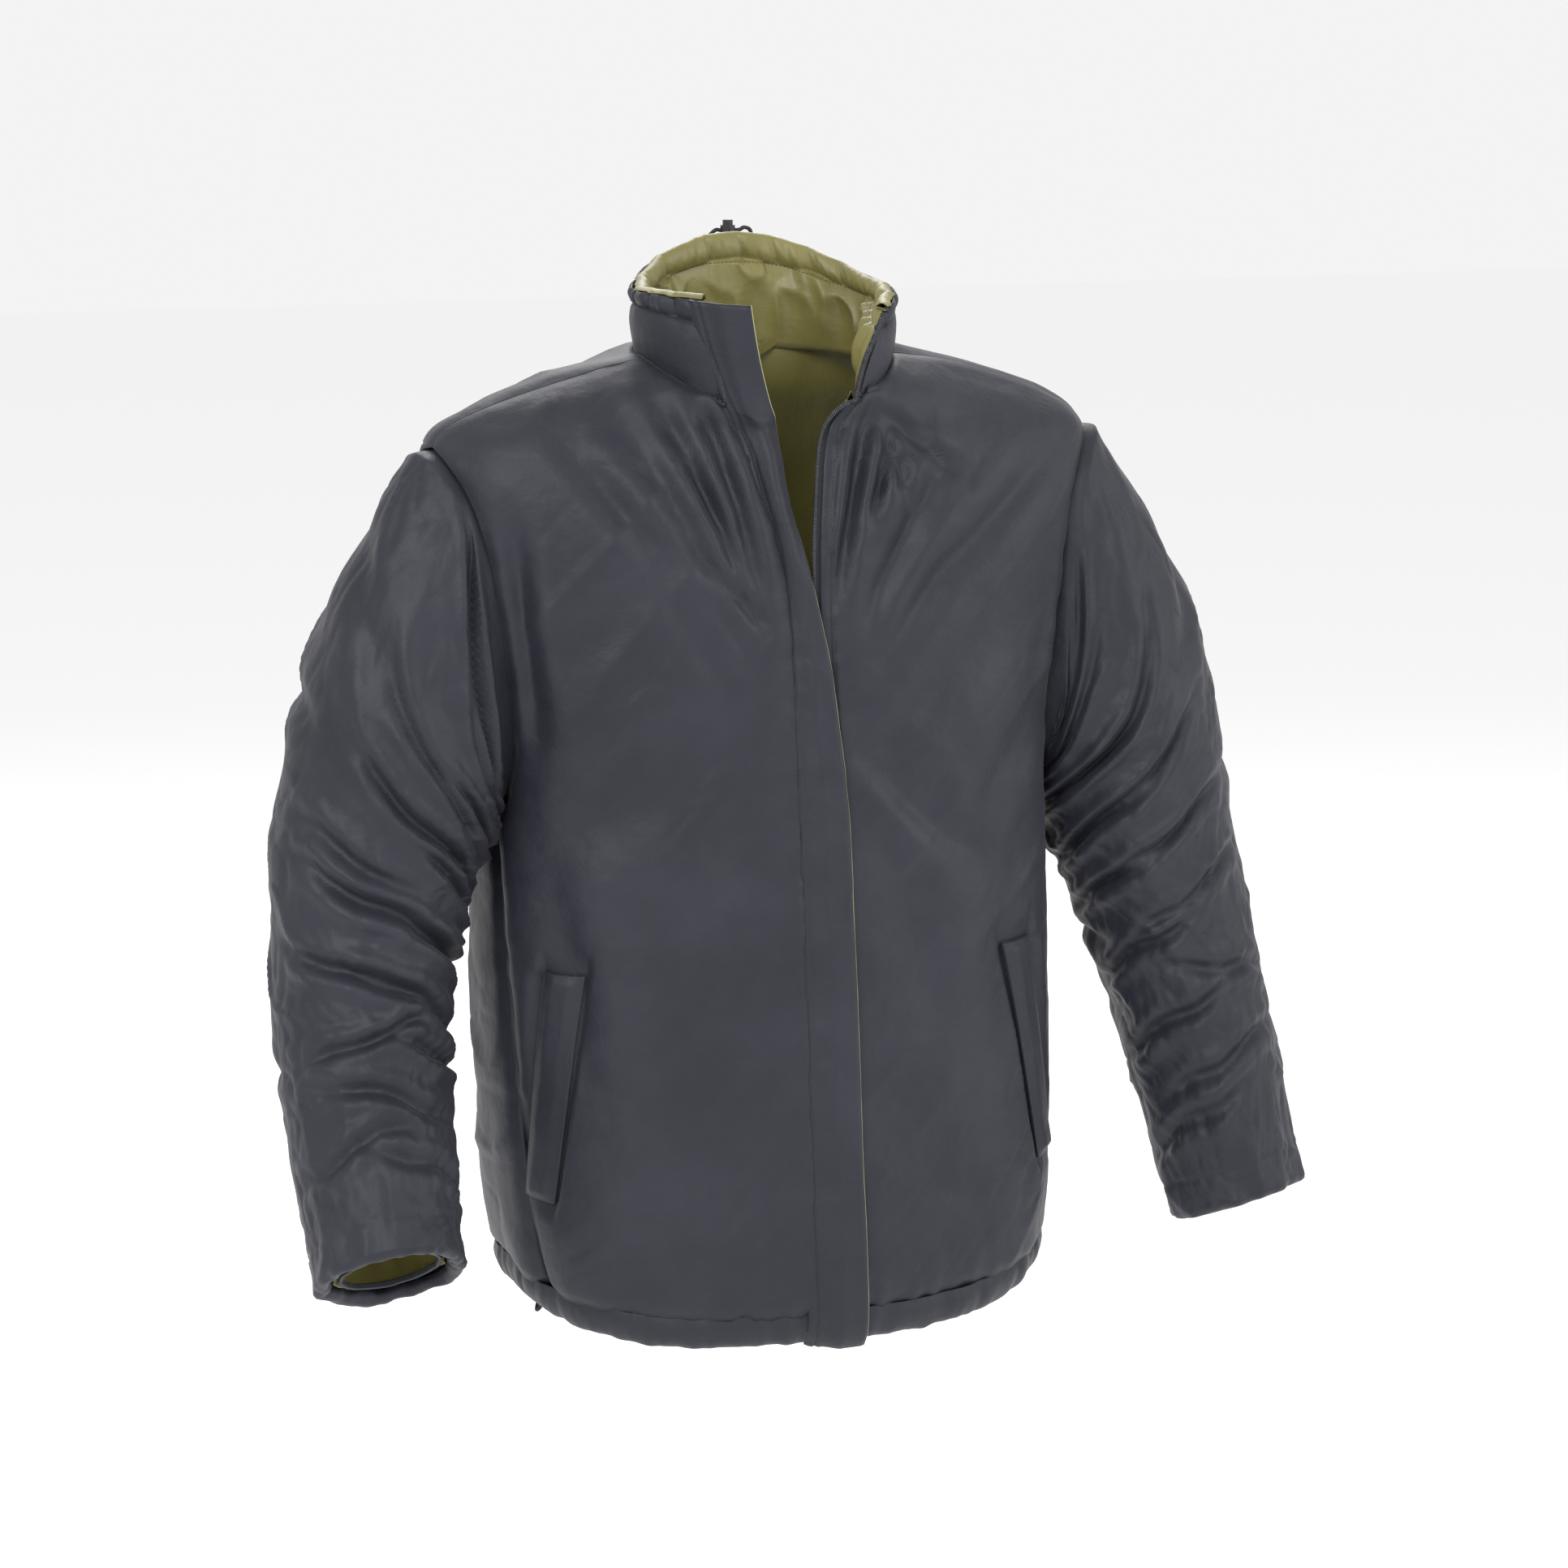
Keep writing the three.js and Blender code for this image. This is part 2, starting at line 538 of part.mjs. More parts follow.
// One face of the slider: way is -1 outside the jacket and 1 inside it.
function sliderFace(way) {
  const out = SLIDER.gap / 2 + SLIDER.plate / 2;
  const plate = box(SLIDER.width, SLIDER.plate, SLIDER.length, 0, way * out, 0);
  const lips = [-1, 1].map((x) => box(0.8, 1.1, SLIDER.length, x * 4.4, way * 1.65, 0));
  const crown = box(2.4, 2.9, 7, 0, way * (SLIDER.pivotOut - 0.15), SLIDER.pivotUp);
  const pinHole = new THREE.CylinderGeometry(1, 1, 4, 12).rotateZ(Math.PI / 2);
  pinHole.translate(0, way * SLIDER.pivotOut, SLIDER.pivotUp);
  return cut(join(plate, ...lips, crown), pinHole);
}

function pullTab(way) {
  const [y, z] = [way * SLIDER.pivotOut, SLIDER.pivotUp];
  const pin = new THREE.CylinderGeometry(0.7, 0.7, 6, 10).rotateZ(Math.PI / 2).translate(0, y, z);
  const arms = [-1, 1].map((x) => box(1.2, 1.4, 9, x * 2.5, y, z - 3.8));
  const outline = new THREE.Shape().absarc(0, 0, 3.1, Math.PI, 2 * Math.PI);
  outline.lineTo(3.1, PULL_LENGTH - 11).lineTo(-3.1, PULL_LENGTH - 11);
  const blade = new THREE.ExtrudeGeometry(outline, { depth: 1.4, bevelEnabled: false, curveSegments: 8 });
  blade.rotateX(Math.PI / 2).translate(0, y + 0.7, z - PULL_LENGTH + 3.1);
  const slot = box(2.6, 4, 5, 0, y, z - PULL_LENGTH + 5);
  return cut(join(pin, ...arms, blade), slot);
}

function addZip() {
  addZipSide('right');
  addZipSide('left');
  const slider = chainGroup(SLIDER_Z);
  const post = box(SLIDER.post, SLIDER.gap + 1, 4, 0, 0, 3.5);
  add('zip_slider', join(sliderFace(-1), sliderFace(1), post), BLACK_METAL, slider);
  add('zip_pull_outer', pullTab(-1), BLACK_METAL, slider);
  add('zip_pull_inner', pullTab(1), BLACK_METAL, slider);
  const foot = chainGroup(ZIP_BOTTOM.z - 6);
  const retainer = cut(box(5, 5, 9, -3.3, 0, 0), box(2.6, 2.6, 20, -2.3, 0, 4));
  add('zip_retainer_box', retainer, BLACK_PLASTIC, foot);
  add('zip_insertion_pin', box(1.8, 1.8, 10, 1.9, 0, 0.2), BLACK_PLASTIC, foot);
}

// The storm flap, sewn along one edge to the wearer's right front and lying over the zip.
function addFlap() {
  const surface = (u, level) => {
    return frontPoint(lerp(alongLine(FLAP_SEAM, level), alongLine(FLAP_EDGE, level), u), level);
  };
  const lift = (u) => lerp(...FLAP_LIFT, THREE.MathUtils.smoothstep(u, 0, 0.4));
  const faces = [(u) => lift(u) + FLAP_THICK, lift];
  const columns = [0, 0.2, 0.4, 1];
  const lower = steps(HEM_LEVEL + 0.02, FLAP_SPLIT - 0.003, 5);
  const upper = [FLAP_SPLIT + 0.003, 5.1, 5.6, 6.4, 7.2, 8.1, 9, 10, 10.6, 11.2, 11.6, COLLAR_TOP - 0.02];
  const tools = [...panelBlocks, hemBlock, collarBlock, ...tapeBlocks];
  const fitted = (levels) => trimmed(sheet(surface, columns, levels, faces), ...tools);
  add('storm_flap_lower', fitted(lower), CHARCOAL);
  add('storm_flap_upper', fitted(upper), CHARCOAL);
}

// ---- pockets and hem ----------------------------------------------------------------------------

function addPocket(side) {
  const { topAngle, bottomAngle } = POCKETS[side];
  const way = side === 'left' ? 1 : -1;
  const mouth = (level) => {
    return lerp(bottomAngle, topAngle, (level - POCKET_LEVELS[0]) / (POCKET_LEVELS[1] - POCKET_LEVELS[0]));
  };
  const welt = (u, level) => bodyPoint(mouth(level) + WELT_WIDTH * (way > 0 ? u : u - 1), level);
  const cloth = sheet(welt, steps(0, 1, 2), steps(...POCKET_LEVELS, 4), [2.6, -0.5]);
  add(`pocket_welt_${side}`, trimmed(cloth, ...panelBlocks), CHARCOAL);
  const reach = 30;
  const bag = (u, level) => {
    const back = mouth(level);
    return bodyPoint(way > 0 ? lerp(back - reach, back, u) : lerp(back, back + reach, u), level);
  };
  const levels = steps(CASING_TOP + 0.1, POCKET_LEVELS[1] + 0.1, 4);
  const [, surface, , columns] = PANELS[way > 0 ? 2 : 1];
  const neighbour = ([top, bottom]) => {
    return sheet(surface, steps(0, 1, columns), panelLevels, [top + GAP, bottom - GAP]);
  };
  const plies = sheet(bag, steps(0, 1, 4), levels, POCKET_LAYER);
  add(`pocket_bag_${side}`, trimmed(plies, neighbour(PADDING), neighbour(LINING)), OLIVE);
}

// A point on the axis of one of the two eyelets in the hem casing's inner ply.
function hemEyeletPoint(way, depth) {
  const { slope, along } = hemFrame();
  const inward = slope.clone().cross(along);
  return { inward, point: hemPlace(way * 2 * LOCK.strands, 0, 0).addScaledVector(inward, depth) };
}

function hemEyelet(way) {
  const { inward, point } = hemEyeletPoint(way, -LINING[1] + EYELET_SEAT);
  return eyelet(point, inward);
}

function addHem() {
  const ply = 1;
  const block = sheet(hemSurface, hemColumns, [HEM_LEVEL, CASING_TOP], [0, LINING[1]]);
  const insideColumns = [-0.001, ...hemColumns.slice(1, -1), 1.001];
  const insideRows = [0.07, CASING_TOP, CASING_TOP + 0.1];
  const inside = sheet(hemSurface, insideColumns, insideRows, [-ply, LINING[1] + ply]);
  const eyelets = [-1, 1].map(hemEyelet);
  add('hem_casing', cut(block, inside, ...eyelets.map(([hole]) => hole)), CHARCOAL);
  add('hem_eyelet_front', eyelets[1][1], BLACK_METAL);
  add('hem_eyelet_rear', eyelets[0][1], BLACK_METAL);
  const route = hemColumns.map((u) => {
    const share = clamp(u, 0.01, 0.99);
    const [bottom, top] = [HEM_LEVEL, CASING_TOP].map((l) => lifted(hemSurface, share, l, LINING[1] / 2));
    return bottom.lerp(top, HEM_EYELET_LEVEL);
  });
  add('hem_drawcord', straightTube(route, CORD_RADIUS), BLACK_CORD);
}

// ---- cord locks and loops -----------------------------------------------------------------------

// A cord lock: a barrel along X with a sprung button at +X, and two cord strands through it along Z.
function addLock(name, group) {
  const barrel = (radius, from, to) => {
    return new THREE.CylinderGeometry(radius, radius, to - from, 16).rotateZ(-Math.PI / 2)
      .translate((from + to) / 2, 0, 0);
  };
  const outer = LOCK.bore + LOCK.wall;
  const slot = box(LOCK.slot[0], LOCK.slot[1], 20);
  const shell = cut(barrel(outer, LOCK.back, LOCK.front), barrel(LOCK.bore, LOCK.back + 1.6, 20), slot);
  const cap = barrel(LOCK.plunger, LOCK.front - 0.6, LOCK.front + 4);
  const rails = cut(barrel(LOCK.plunger, -6.6, LOCK.front), box(9.5, LOCK.slot[1], 20, 0.65));
  const spring = [];
  const turns = 2;
  const travel = { from: -9.6, to: -7.4, radius: 2.6, wire: 0.35 };
  for (let k = 0; k <= turns * 8; k += 1) {
    const a = (2 * Math.PI * k) / 8;
    const x = lerp(travel.from, travel.to, k / (turns * 8));
    spring.push(new THREE.Vector3(x, travel.radius * Math.cos(a), travel.radius * Math.sin(a)));
  }
  add(`${name}_body`, shell, BLACK_PLASTIC, group);
  add(`${name}_button`, join(cap, rails), BLACK_PLASTIC, group);
  add(`${name}_spring`, tube(spring, travel.wire, 20, 6), STEEL, group);
}

function addCollarLoop() {
  const group = new THREE.Group();
  group.position.copy(COLLAR_LOCK);
  // barrel upright with its button on top, strands running sideways
  group.rotation.y = -Math.PI / 2;
  jacket.add(group);
  addLock('collar_cord_lock', group);
  const { x, y, z } = COLLAR_LOCK;
  const [outer, inner] = COLLAR_EYELETS.map((share) => collarEyelet(share).place.x);
  const out = (share, distance) => {
    const { place, outward } = collarEyelet(share);
    return place.addScaledVector(outward, distance).toArray();
  };
  const points = [
    out(COLLAR_EYELETS[0], -0.9), out(COLLAR_EYELETS[0], 4), [outer + 0.6, y - 0.6, 89], [outer + 3, y, 95],
    [outer + 9, y, z + 2.4], [x - 6, y, z + LOCK.strands], [x, y, z + LOCK.strands],
    [x + 9, y, z + 2.3], [x + 13, y, z + 4], [x + 17.6, y, z + 2.4], [x + 18.8, y, z - 2.2],
    [x + 15.6, y, z - 5], [x + 11.6, y, z - 3], [x + 8, y, z - 2.2], [x, y, z - LOCK.strands],
    [x - 5.5, y, z - 2.6], [inner - 0.4, y, z - 6], [inner, y - 0.6, z - 11],
    out(COLLAR_EYELETS[1], 4), out(COLLAR_EYELETS[1], -0.9),
  ].map((p) => new THREE.Vector3(...p));
  add('collar_cord_loop', tube(points, CORD_RADIUS, 38), BLACK_CORD);
}

// The hem loop's frame: a point of the hem, the way along it, up it, and the level way into the jacket.
function hemFrame() {
  const corner = (column, level) => hemSurface((HEM_LOOP_COLUMN + column) / HEM_COLUMNS, level);
  const middle = (level) => corner(-0.5, level).lerp(corner(0.5, level), 0.5);
  const [bottom, top] = [middle(HEM_LEVEL), middle(CASING_TOP)];
  const along = corner(0.5, CASING_TOP).sub(corner(-0.5, CASING_TOP)).setZ(0).normalize();
  const slope = top.clone().sub(bottom).normalize();
  return { base: bottom.lerp(top, HEM_EYELET_LEVEL), along, slope, inward: UP.clone().cross(along) };
}

// A point given by its distances along the hem, into the jacket and up from the loop's frame.
function hemPlace(along, inward, up) {
  const frame = hemFrame();
  const point = frame.base.addScaledVector(frame.along, along);
  return point.addScaledVector(frame.inward, inward).addScaledVector(UP, up);
}

function addHemLoop() {
  const frame = hemFrame();
  const group = new THREE.Group();
  group.position.copy(hemPlace(0, HEM_LOCK.inward, HEM_LOCK.up));
  group.quaternion.setFromRotationMatrix(new THREE.Matrix4().makeBasis(frame.along, frame.inward, UP));
  jacket.add(group);
  addLock('hem_cord_lock', group);
  const { inward, up } = HEM_LOCK;
  const strand = (way) => [
    hemEyeletPoint(way, -LINING[1] - 1).point, hemEyeletPoint(way, -LINING[1] + 4).point,
    ...[
      [1.9 * way * LOCK.strands, 19, 5.4], [1.2 * way * LOCK.strands, inward - 0.6, 4.6],
      [way * LOCK.strands, inward, 0], [way * LOCK.strands, inward, up], [way * LOCK.strands, inward, up - 7],
      [way * 3.2, inward - 0.8, up - 11.5], [way * 3.4, inward - 2.4, up - 15.4],
    ].map((p) => hemPlace(...p)),
  ];
  const bottom = hemPlace(0, inward - 4, up - 18.6);
  const route = [...strand(-1), bottom, ...strand(1).reverse()];
  add('hem_cord_loop', tube(route, CORD_RADIUS, 38), BLACK_CORD);
}

// The hanger loop inside the back of the neck.
function addHanger() {
  const strap = (u, v) => {
    const x = lerp(HANGER.halfLength, -HANGER.halfLength, u);
    const bow = Math.sin(Math.PI * u);
    const wall = bodyRing(NECK_LEVEL);
    const y = wall.centre + wall.depth * Math.sqrt(1 - (x / wall.width) ** 2) - 11 - HANGER.stand * bow;
    return new THREE.Vector3(x, y, HANGER.z + HANGER.width * (v - 0.5) - HANGER.drop * bow);
  };
  add('hanger_loop', sheet(strap, steps(0, 1, 12), [0, 1], [0.6, -0.6]), BLACK_CORD);
}

addPanels();
addSleeve('right');
addSleeve('left');
addCollar();
addZip();
addFlap();
addPocket('right');
addPocket('left');
addHem();
addCollarLoop();
addHemLoop();
addHanger();

export default jacket;
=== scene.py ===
"""Padded reversible jacket: cloth, padding, seams, zip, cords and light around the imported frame."""
import math
import bpy
import bmesh
import numpy as np
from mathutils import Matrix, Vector


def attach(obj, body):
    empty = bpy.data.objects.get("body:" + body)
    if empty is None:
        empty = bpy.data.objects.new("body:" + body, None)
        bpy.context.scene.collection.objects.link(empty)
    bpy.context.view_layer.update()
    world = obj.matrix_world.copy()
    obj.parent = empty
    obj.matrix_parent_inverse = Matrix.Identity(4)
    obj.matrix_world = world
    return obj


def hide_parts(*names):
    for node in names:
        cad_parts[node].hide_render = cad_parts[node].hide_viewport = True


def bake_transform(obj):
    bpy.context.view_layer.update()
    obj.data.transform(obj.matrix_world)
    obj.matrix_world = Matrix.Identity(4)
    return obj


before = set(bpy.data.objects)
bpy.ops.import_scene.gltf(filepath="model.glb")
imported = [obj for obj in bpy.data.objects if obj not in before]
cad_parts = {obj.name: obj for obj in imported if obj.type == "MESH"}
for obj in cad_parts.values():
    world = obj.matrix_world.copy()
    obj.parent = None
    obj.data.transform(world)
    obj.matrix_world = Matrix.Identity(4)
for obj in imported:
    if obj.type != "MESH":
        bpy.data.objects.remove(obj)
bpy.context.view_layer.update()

# ---- the jacket's own measures, in millimetres, as its solids have them --------------------------

MM = 0.001

# Rings round the body, from hem to neck: height, half width, depth in front, depth behind, the power of
# its roundness, how much of its depth the front sinks by, how much the back rises by.
BODY_RINGS = np.array([
    [-709, 201, 152, 132, 2.5, 0, 0],
    [-684, 213, 161, 140, 2.5, 0, 0],
    [-600, 221, 151.5, 142, 2.5, 0, 0],
    [-450, 221, 134.3, 140, 2.5, 0, 0],
    [-310, 217, 118.2, 136, 2.6, 0, 0],
    [-200, 234, 105.5, 130, 2.7, 0.02, 0],
    [-100, 251, 94, 116, 2.6, 0.06, 0.02],
    [-46, 258, 78, 96, 2.3, 0.14, 0.03],
    [-20, 226, 68, 84, 2.0, 0.22, 0.03],
    [0, 170, 70, 82, 1.9, 0.32, 0.04],
    [14, 118, 76, 84, 1.9, 0.42, 0.06],
    [20, 98, 79, 83, 2.0, 0.54, 0.08],
])
# Levels count these rings. The collar goes on from NECK to TOP, and the hem casing is below CASING.
NECK, TOP, ARMPIT, SHOULDER, CASING = 11, 12, 3.95, 7, 1
HEM_SIDE_LIFT = 20
COLLAR = dict(width=99, depth=78, height=64, back_rise=33, front_drop=6, end_drop=12)
# Rings along each sleeve, from armhole to cuff: centre, tilt to the side, half width, half depth, lean
# to the front. Both sleeves are given on the left side, and the right one is mirrored.
SLEEVE_RINGS = {
    "right": np.array([
        [236, 2, -170, 77, 128, 68, 0],
        [267, 0, -214, 58, 104, 80, 0],
        [290, -4, -282, 34, 85, 84, 4],
        [313, -14, -362, 14, 73, 76, 10],
        [328, -36, -448, 4, 64, 68, 18],
        [334, -84, -536, 0, 59, 61, 30],
        [338, -150, -618, -2, 54, 52, 38],
    ], float),
    "left": np.array([
        [236, 2, -170, 77, 128, 68, 0],
        [267, 0, -214, 58, 104, 80, 0],
        [291, -4, -284, 34, 84, 84, 4],
        [311, -14, -366, 20, 71, 76, 8],
        [332, -30, -452, 16, 62, 68, 12],
        [350, -56, -548, 14, 57, 61, 16],
        [363, -92, -652, 13, 52, 52, 18],
    ], float),
}
# Lines up the front, each a row of levels with the line's x.
ZIP_LEFT = [[0, 2], [5.35, 2], [5.8, 3], [6.5, 9.5], [8.1, 22], [9.6, 35], [11, 45], [11.45, 54], [12, 80]]
ZIP_RIGHT = [[0, -2], [5.35, -2], [5.8, -7], [6.5, -24], [8.1, -37], [9.6, -44], [11, -53], [12, -66]]
FLAP_SEAM = [[0, -24], [5.1, -24], [5.6, -28], [6.4, -40], [8.1, -49], [9.6, -55], [11, -63], [12, -77]]
FLAP_EDGE = [[0, 21], [3.9, 21], [4.5, 16], [5.1, 9], [5.6, -2], [6.3, -14], [8, -15], [10, -19], [12, -37]]
# The sewn edge of each pocket welt: its angle round the body at the top and at the bottom, in degrees.
POCKETS = {"right": (-137, -147), "left": (-50, -38)}
POCKET_LEVELS = (1.95, 3.16)
WELT_WIDTH = 11


def smooth(x, low, high):
    """0 up to low, 1 from high on, and an even slope between them."""
    t = np.clip((x - low) / (high - low), 0, 1)
    return t * t * (3 - 2 * t)


def spline(rows, t):
    """A Catmull-Rom curve through rows, one unit of t for each."""
    t = np.clip(np.asarray(t, float), 0, len(rows) - 1)
    i = np.clip(np.floor(t).astype(int), 0, len(rows) - 2)
    f = (t - i)[..., None]
    p0, p1, p2, p3 = (rows[np.clip(i + k, 0, len(rows) - 1)] for k in (-1, 0, 1, 2))
    square = 2 * p0 - 5 * p1 + 4 * p2 - p3
    cube = 3 * p1 - p0 - 3 * p2 + p3
    return 0.5 * (2 * p1 + (p2 - p0) * f + square * f * f + cube * f ** 3)


def smoothed(points, per_span):
    """The curve through points, as per_span steps from each to the next."""
    points = np.asarray(points, float)
    return spline(points, np.linspace(0, len(points) - 1, (len(points) - 1) * per_span + 1))


def along(pairs, level):
    """A line's x at a level, with its corners rounded off."""
    levels, values = np.array(pairs, float).T
    return sum(w * np.interp(level + d, levels, values) for d, w in ((-0.25, 0.25), (0, 0.5), (0.25, 0.25)))


def body_point(angle, level):
    """A point of the body's outside. The angle is 0 at the left side and -90 in front."""
    ring = spline(BODY_RINGS, np.clip(level, 0, NECK))
    height, width, front, back, power, drop, rise = np.moveaxis(ring, -1, 0)
    depth, centre = (front + back) / 2, (back - front) / 2
    c, s = np.cos(np.radians(angle)), np.sin(np.radians(angle))
    k = (np.abs(c) ** power + np.abs(s) ** power) ** (-1 / power)
    y = depth * k * s
    lean = np.abs(y / depth) ** 1.5 * depth * np.where(y < 0, -drop, rise)
    lift = HEM_SIDE_LIFT * np.abs(c) ** 3 * np.clip(1.5 - level / 2, 0, 1)
    return np.stack([width * k * c, y + centre, height + lean + lift], -1)


def collar_point(angle, level):
    """A point of the collar's outside, straight up from the neck ring to the collar's top edge."""
    h = np.clip(level - NECK, 0, 1.2)[..., None]
    c, s = np.cos(np.radians(angle)), np.sin(np.radians(angle))
    wrapped = (np.asarray(angle) + 180) % 360 - 180
    end = COLLAR["end_drop"] * smooth(-np.abs(wrapped + 42), -50, -2)
    z = COLLAR["height"] + np.where(s > 0, COLLAR["back_rise"], -COLLAR["front_drop"]) * s * s - end
    top = np.stack([COLLAR["width"] * c, COLLAR["depth"] * s, z], -1)
    return body_point(angle, np.full(np.shape(angle), NECK)) * (1 - h) + top * h


def outer_point(angle, level):
    return np.where((level > NECK)[..., None], collar_point(angle, level), body_point(angle, level))


def body_normal(angle, level):
    """The way out of the body's surface."""
    e = 0.02
    low = np.minimum(level, NECK - 0.05)
    n = np.cross(body_point(angle + 1, low) - body_point(angle - 1, low),
                 body_point(angle, low + e) - body_point(angle, np.maximum(low - e, 0)))
    return n / np.maximum(np.linalg.norm(n, axis=-1, keepdims=True), 1e-9)


def front_angle(x, level):
    """The angle at which the front has this x."""
    ring = spline(BODY_RINGS, np.clip(level, 0, NECK))
    width = np.where(level > NECK, COLLAR["width"], ring[..., 1])
    power = np.where(level > NECK, 2, ring[..., 4])
    share = np.clip(x / width, -0.98, 0.98)
    return np.degrees(np.arctan2(-(1 - np.abs(share) ** power) ** (1 / power), share))


def side_angle(level, bulge):
    """Where front and back panels meet: side seam, one side of the armhole, shoulder seam."""
    low = -25 + (-8 + 25) * (level / ARMPIT) ** 3
    high = -8 - 5 * (level - SHOULDER) / (NECK - SHOULDER)
    turn = np.clip(2 * (level - ARMPIT) / (SHOULDER - ARMPIT) - 1, -1, 1)
    ring = -8 + bulge * np.sqrt(1 - turn ** 2) ** 0.9
    return np.where(level <= ARMPIT, low, np.where(level >= SHOULDER, high, ring))


def front_surface(line):
    """The outside of the front, by x from a line up the front and level."""
    def surface(x, level):
        return outer_point(front_angle(along(line, level) + x, level), level)
    return surface


def armhole_point(turn):
    """A point of the armhole's seam. The turn is 0 at the shoulder and pi at the armpit."""
    level = ARMPIT + (SHOULDER - ARMPIT) * (1 + np.cos(turn)) / 2
    front = body_point(side_angle(level, -23), level)
    back = body_point(side_angle(level, 34), level)
    return np.where((np.sin(turn) >= 0)[..., None], front, back)


def sleeve_point(side, turn, place):
    """A point of a sleeve's outside, growing out of the armhole's seam."""
    x, y, z, tilt, width, depth, lean = np.moveaxis(spline(SLEEVE_RINGS[side], place), -1, 0)
    t, l = np.radians(tilt), np.radians(lean)
    zero = np.zeros_like(t)
    across = np.stack([np.cos(t), zero, np.sin(t)], -1)
    down = np.stack([np.sin(t) * np.cos(l), -np.sin(l), -np.cos(t) * np.cos(l)], -1)
    forward = np.cross(down, across)
    forward /= np.linalg.norm(forward, axis=-1, keepdims=True)
    forward *= -np.sign(forward[..., 1:2])
    ring = np.stack([x, y, z], -1) + across * (width * np.cos(turn))[..., None]
    ring = ring + forward * (depth * np.sin(turn))[..., None]
    share = smooth(place, 0, 1.8)[..., None]
    return armhole_point(turn) * (1 - share) + ring * share


# ---- cloth tools ---------------------------------------------------------------------------------

def value_noise(p, seed):
    """Smooth noise from -1 to 1 at an array of points."""
    cell = np.floor(p).astype(np.int64)
    f = p - cell
    f = f * f * (3 - 2 * f)
    total = 0
    for corner in range(8):
        step = np.array([corner & 1, corner >> 1 & 1, corner >> 2])
        k = cell + step
        h = (k[..., 0] * 73856093) ^ (k[..., 1] * 19349663) ^ (k[..., 2] * 83492791) ^ (seed * 2654435761)
        h = (h ^ (h >> 13)) * 1274126177 & 0x7FFFFFFF
        h = (h ^ (h >> 15)) * 2246822519 & 0x7FFFFFFF
        weight = np.prod(np.where(step, f, 1 - f), axis=-1)
        total = total + weight * (h / 0x3FFFFFFF - 1)
    return total


def noise_over(seed, first, second=0, third=0):
    """Smooth noise over lengths that are already divided by the size of its waves."""
    return value_noise(np.stack(np.broadcast_arrays(first, second, third), -1), seed)


def ridged(p, seed, sharp=2.0):
    """Soft valleys and narrow ridges, like creased cloth, from 0 to 1."""
    return (1 - np.abs(value_noise(p, seed))) ** sharp


def stroke(x, z, path, width, depth):
    """A fold: a valley along a line, with the cloth it pushed up on both sides."""
    best = np.full(x.shape, 1e9)
    share = np.zeros(x.shape)
    count = len(path) - 1
    for k in range(count):
        (x0, z0), (x1, z1) = path[k], path[k + 1]
        dx, dz = x1 - x0, z1 - z0
        t = np.clip(((x - x0) * dx + (z - z0) * dz) / (dx * dx + dz * dz), 0, 1)
        d = np.hypot(x - x0 - t * dx, z - z0 - t * dz)
        closer = d < best
        best = np.where(closer, d, best)
        share = np.where(closer, (k + t) / count, share)
    q = best / width
    return depth * np.sin(np.pi * np.clip(share, 0.02, 0.98)) ** 0.7 * (
        -np.exp(-q * q) + 0.5 * np.exp(-((q - 2.2) / 1.2) ** 2))


def grid_mesh(name, points, wrap=False):
    """A grid of points, rows by columns, as a mesh. wrap joins its last column to its first."""
    rows, columns = points.shape[:2]
    bm = bmesh.new()
    bmesh.ops.create_grid(bm, x_segments=columns - 1, y_segments=rows - 1, size=1)
    mesh = bpy.data.meshes.new(name)
    bm.to_mesh(mesh)
    bm.free()
    flat = np.empty(len(mesh.vertices) * 3)
    mesh.vertices.foreach_get("co", flat)
    flat = flat.reshape(-1, 3)
    i = np.rint((flat[:, 0] + 1) / 2 * (columns - 1)).astype(int)
    j = np.rint((flat[:, 1] + 1) / 2 * (rows - 1)).astype(int)
    mesh.vertices.foreach_set("co", (points[j, i] * MM).ravel())
    uv = mesh.uv_layers.new(name="cloth")
    corner = np.empty(len(mesh.loops), int)
    mesh.loops.foreach_get("vertex_index", corner)
    across = np.linalg.norm(np.diff(points, axis=1), axis=-1).mean() * MM
    upward = np.linalg.norm(np.diff(points, axis=0), axis=-1).mean() * MM
    uv.data.foreach_set("uv", np.stack([i[corner] * across, j[corner] * upward], -1).ravel())
    if wrap:
        bm = bmesh.new()
        bm.from_mesh(mesh)
        bmesh.ops.remove_doubles(bm, verts=bm.verts, dist=1e-6)
        bm.to_mesh(mesh)
        bm.free()
    return mesh


def grid_normals(points, wrap=False):
    """The way out at each point of a grid."""
    du = np.gradient(points, axis=1)
    if wrap:
        du[:, 0] = du[:, -1] = (points[:, 1] - points[:, -2]) / 2
    n = np.cross(du, np.gradient(points, axis=0))
    return n / np.maximum(np.linalg.norm(n, axis=-1, keepdims=True), 1e-9)


def cloth(name, points, material, thickness, body, wrap=False, replaces=()):
    """A piece of cloth with its thickness on the inner side of a grid of outer points."""
    mesh = grid_mesh(name, points, wrap)
    piece = bpy.data.objects.new(name, mesh)
    bpy.context.scene.collection.objects.link(piece)
    wall = piece.modifiers.new("thickness", "SOLIDIFY")
    wall.thickness = thickness * MM
    wall.offset = -1
    return settle(piece, material, body, replaces)


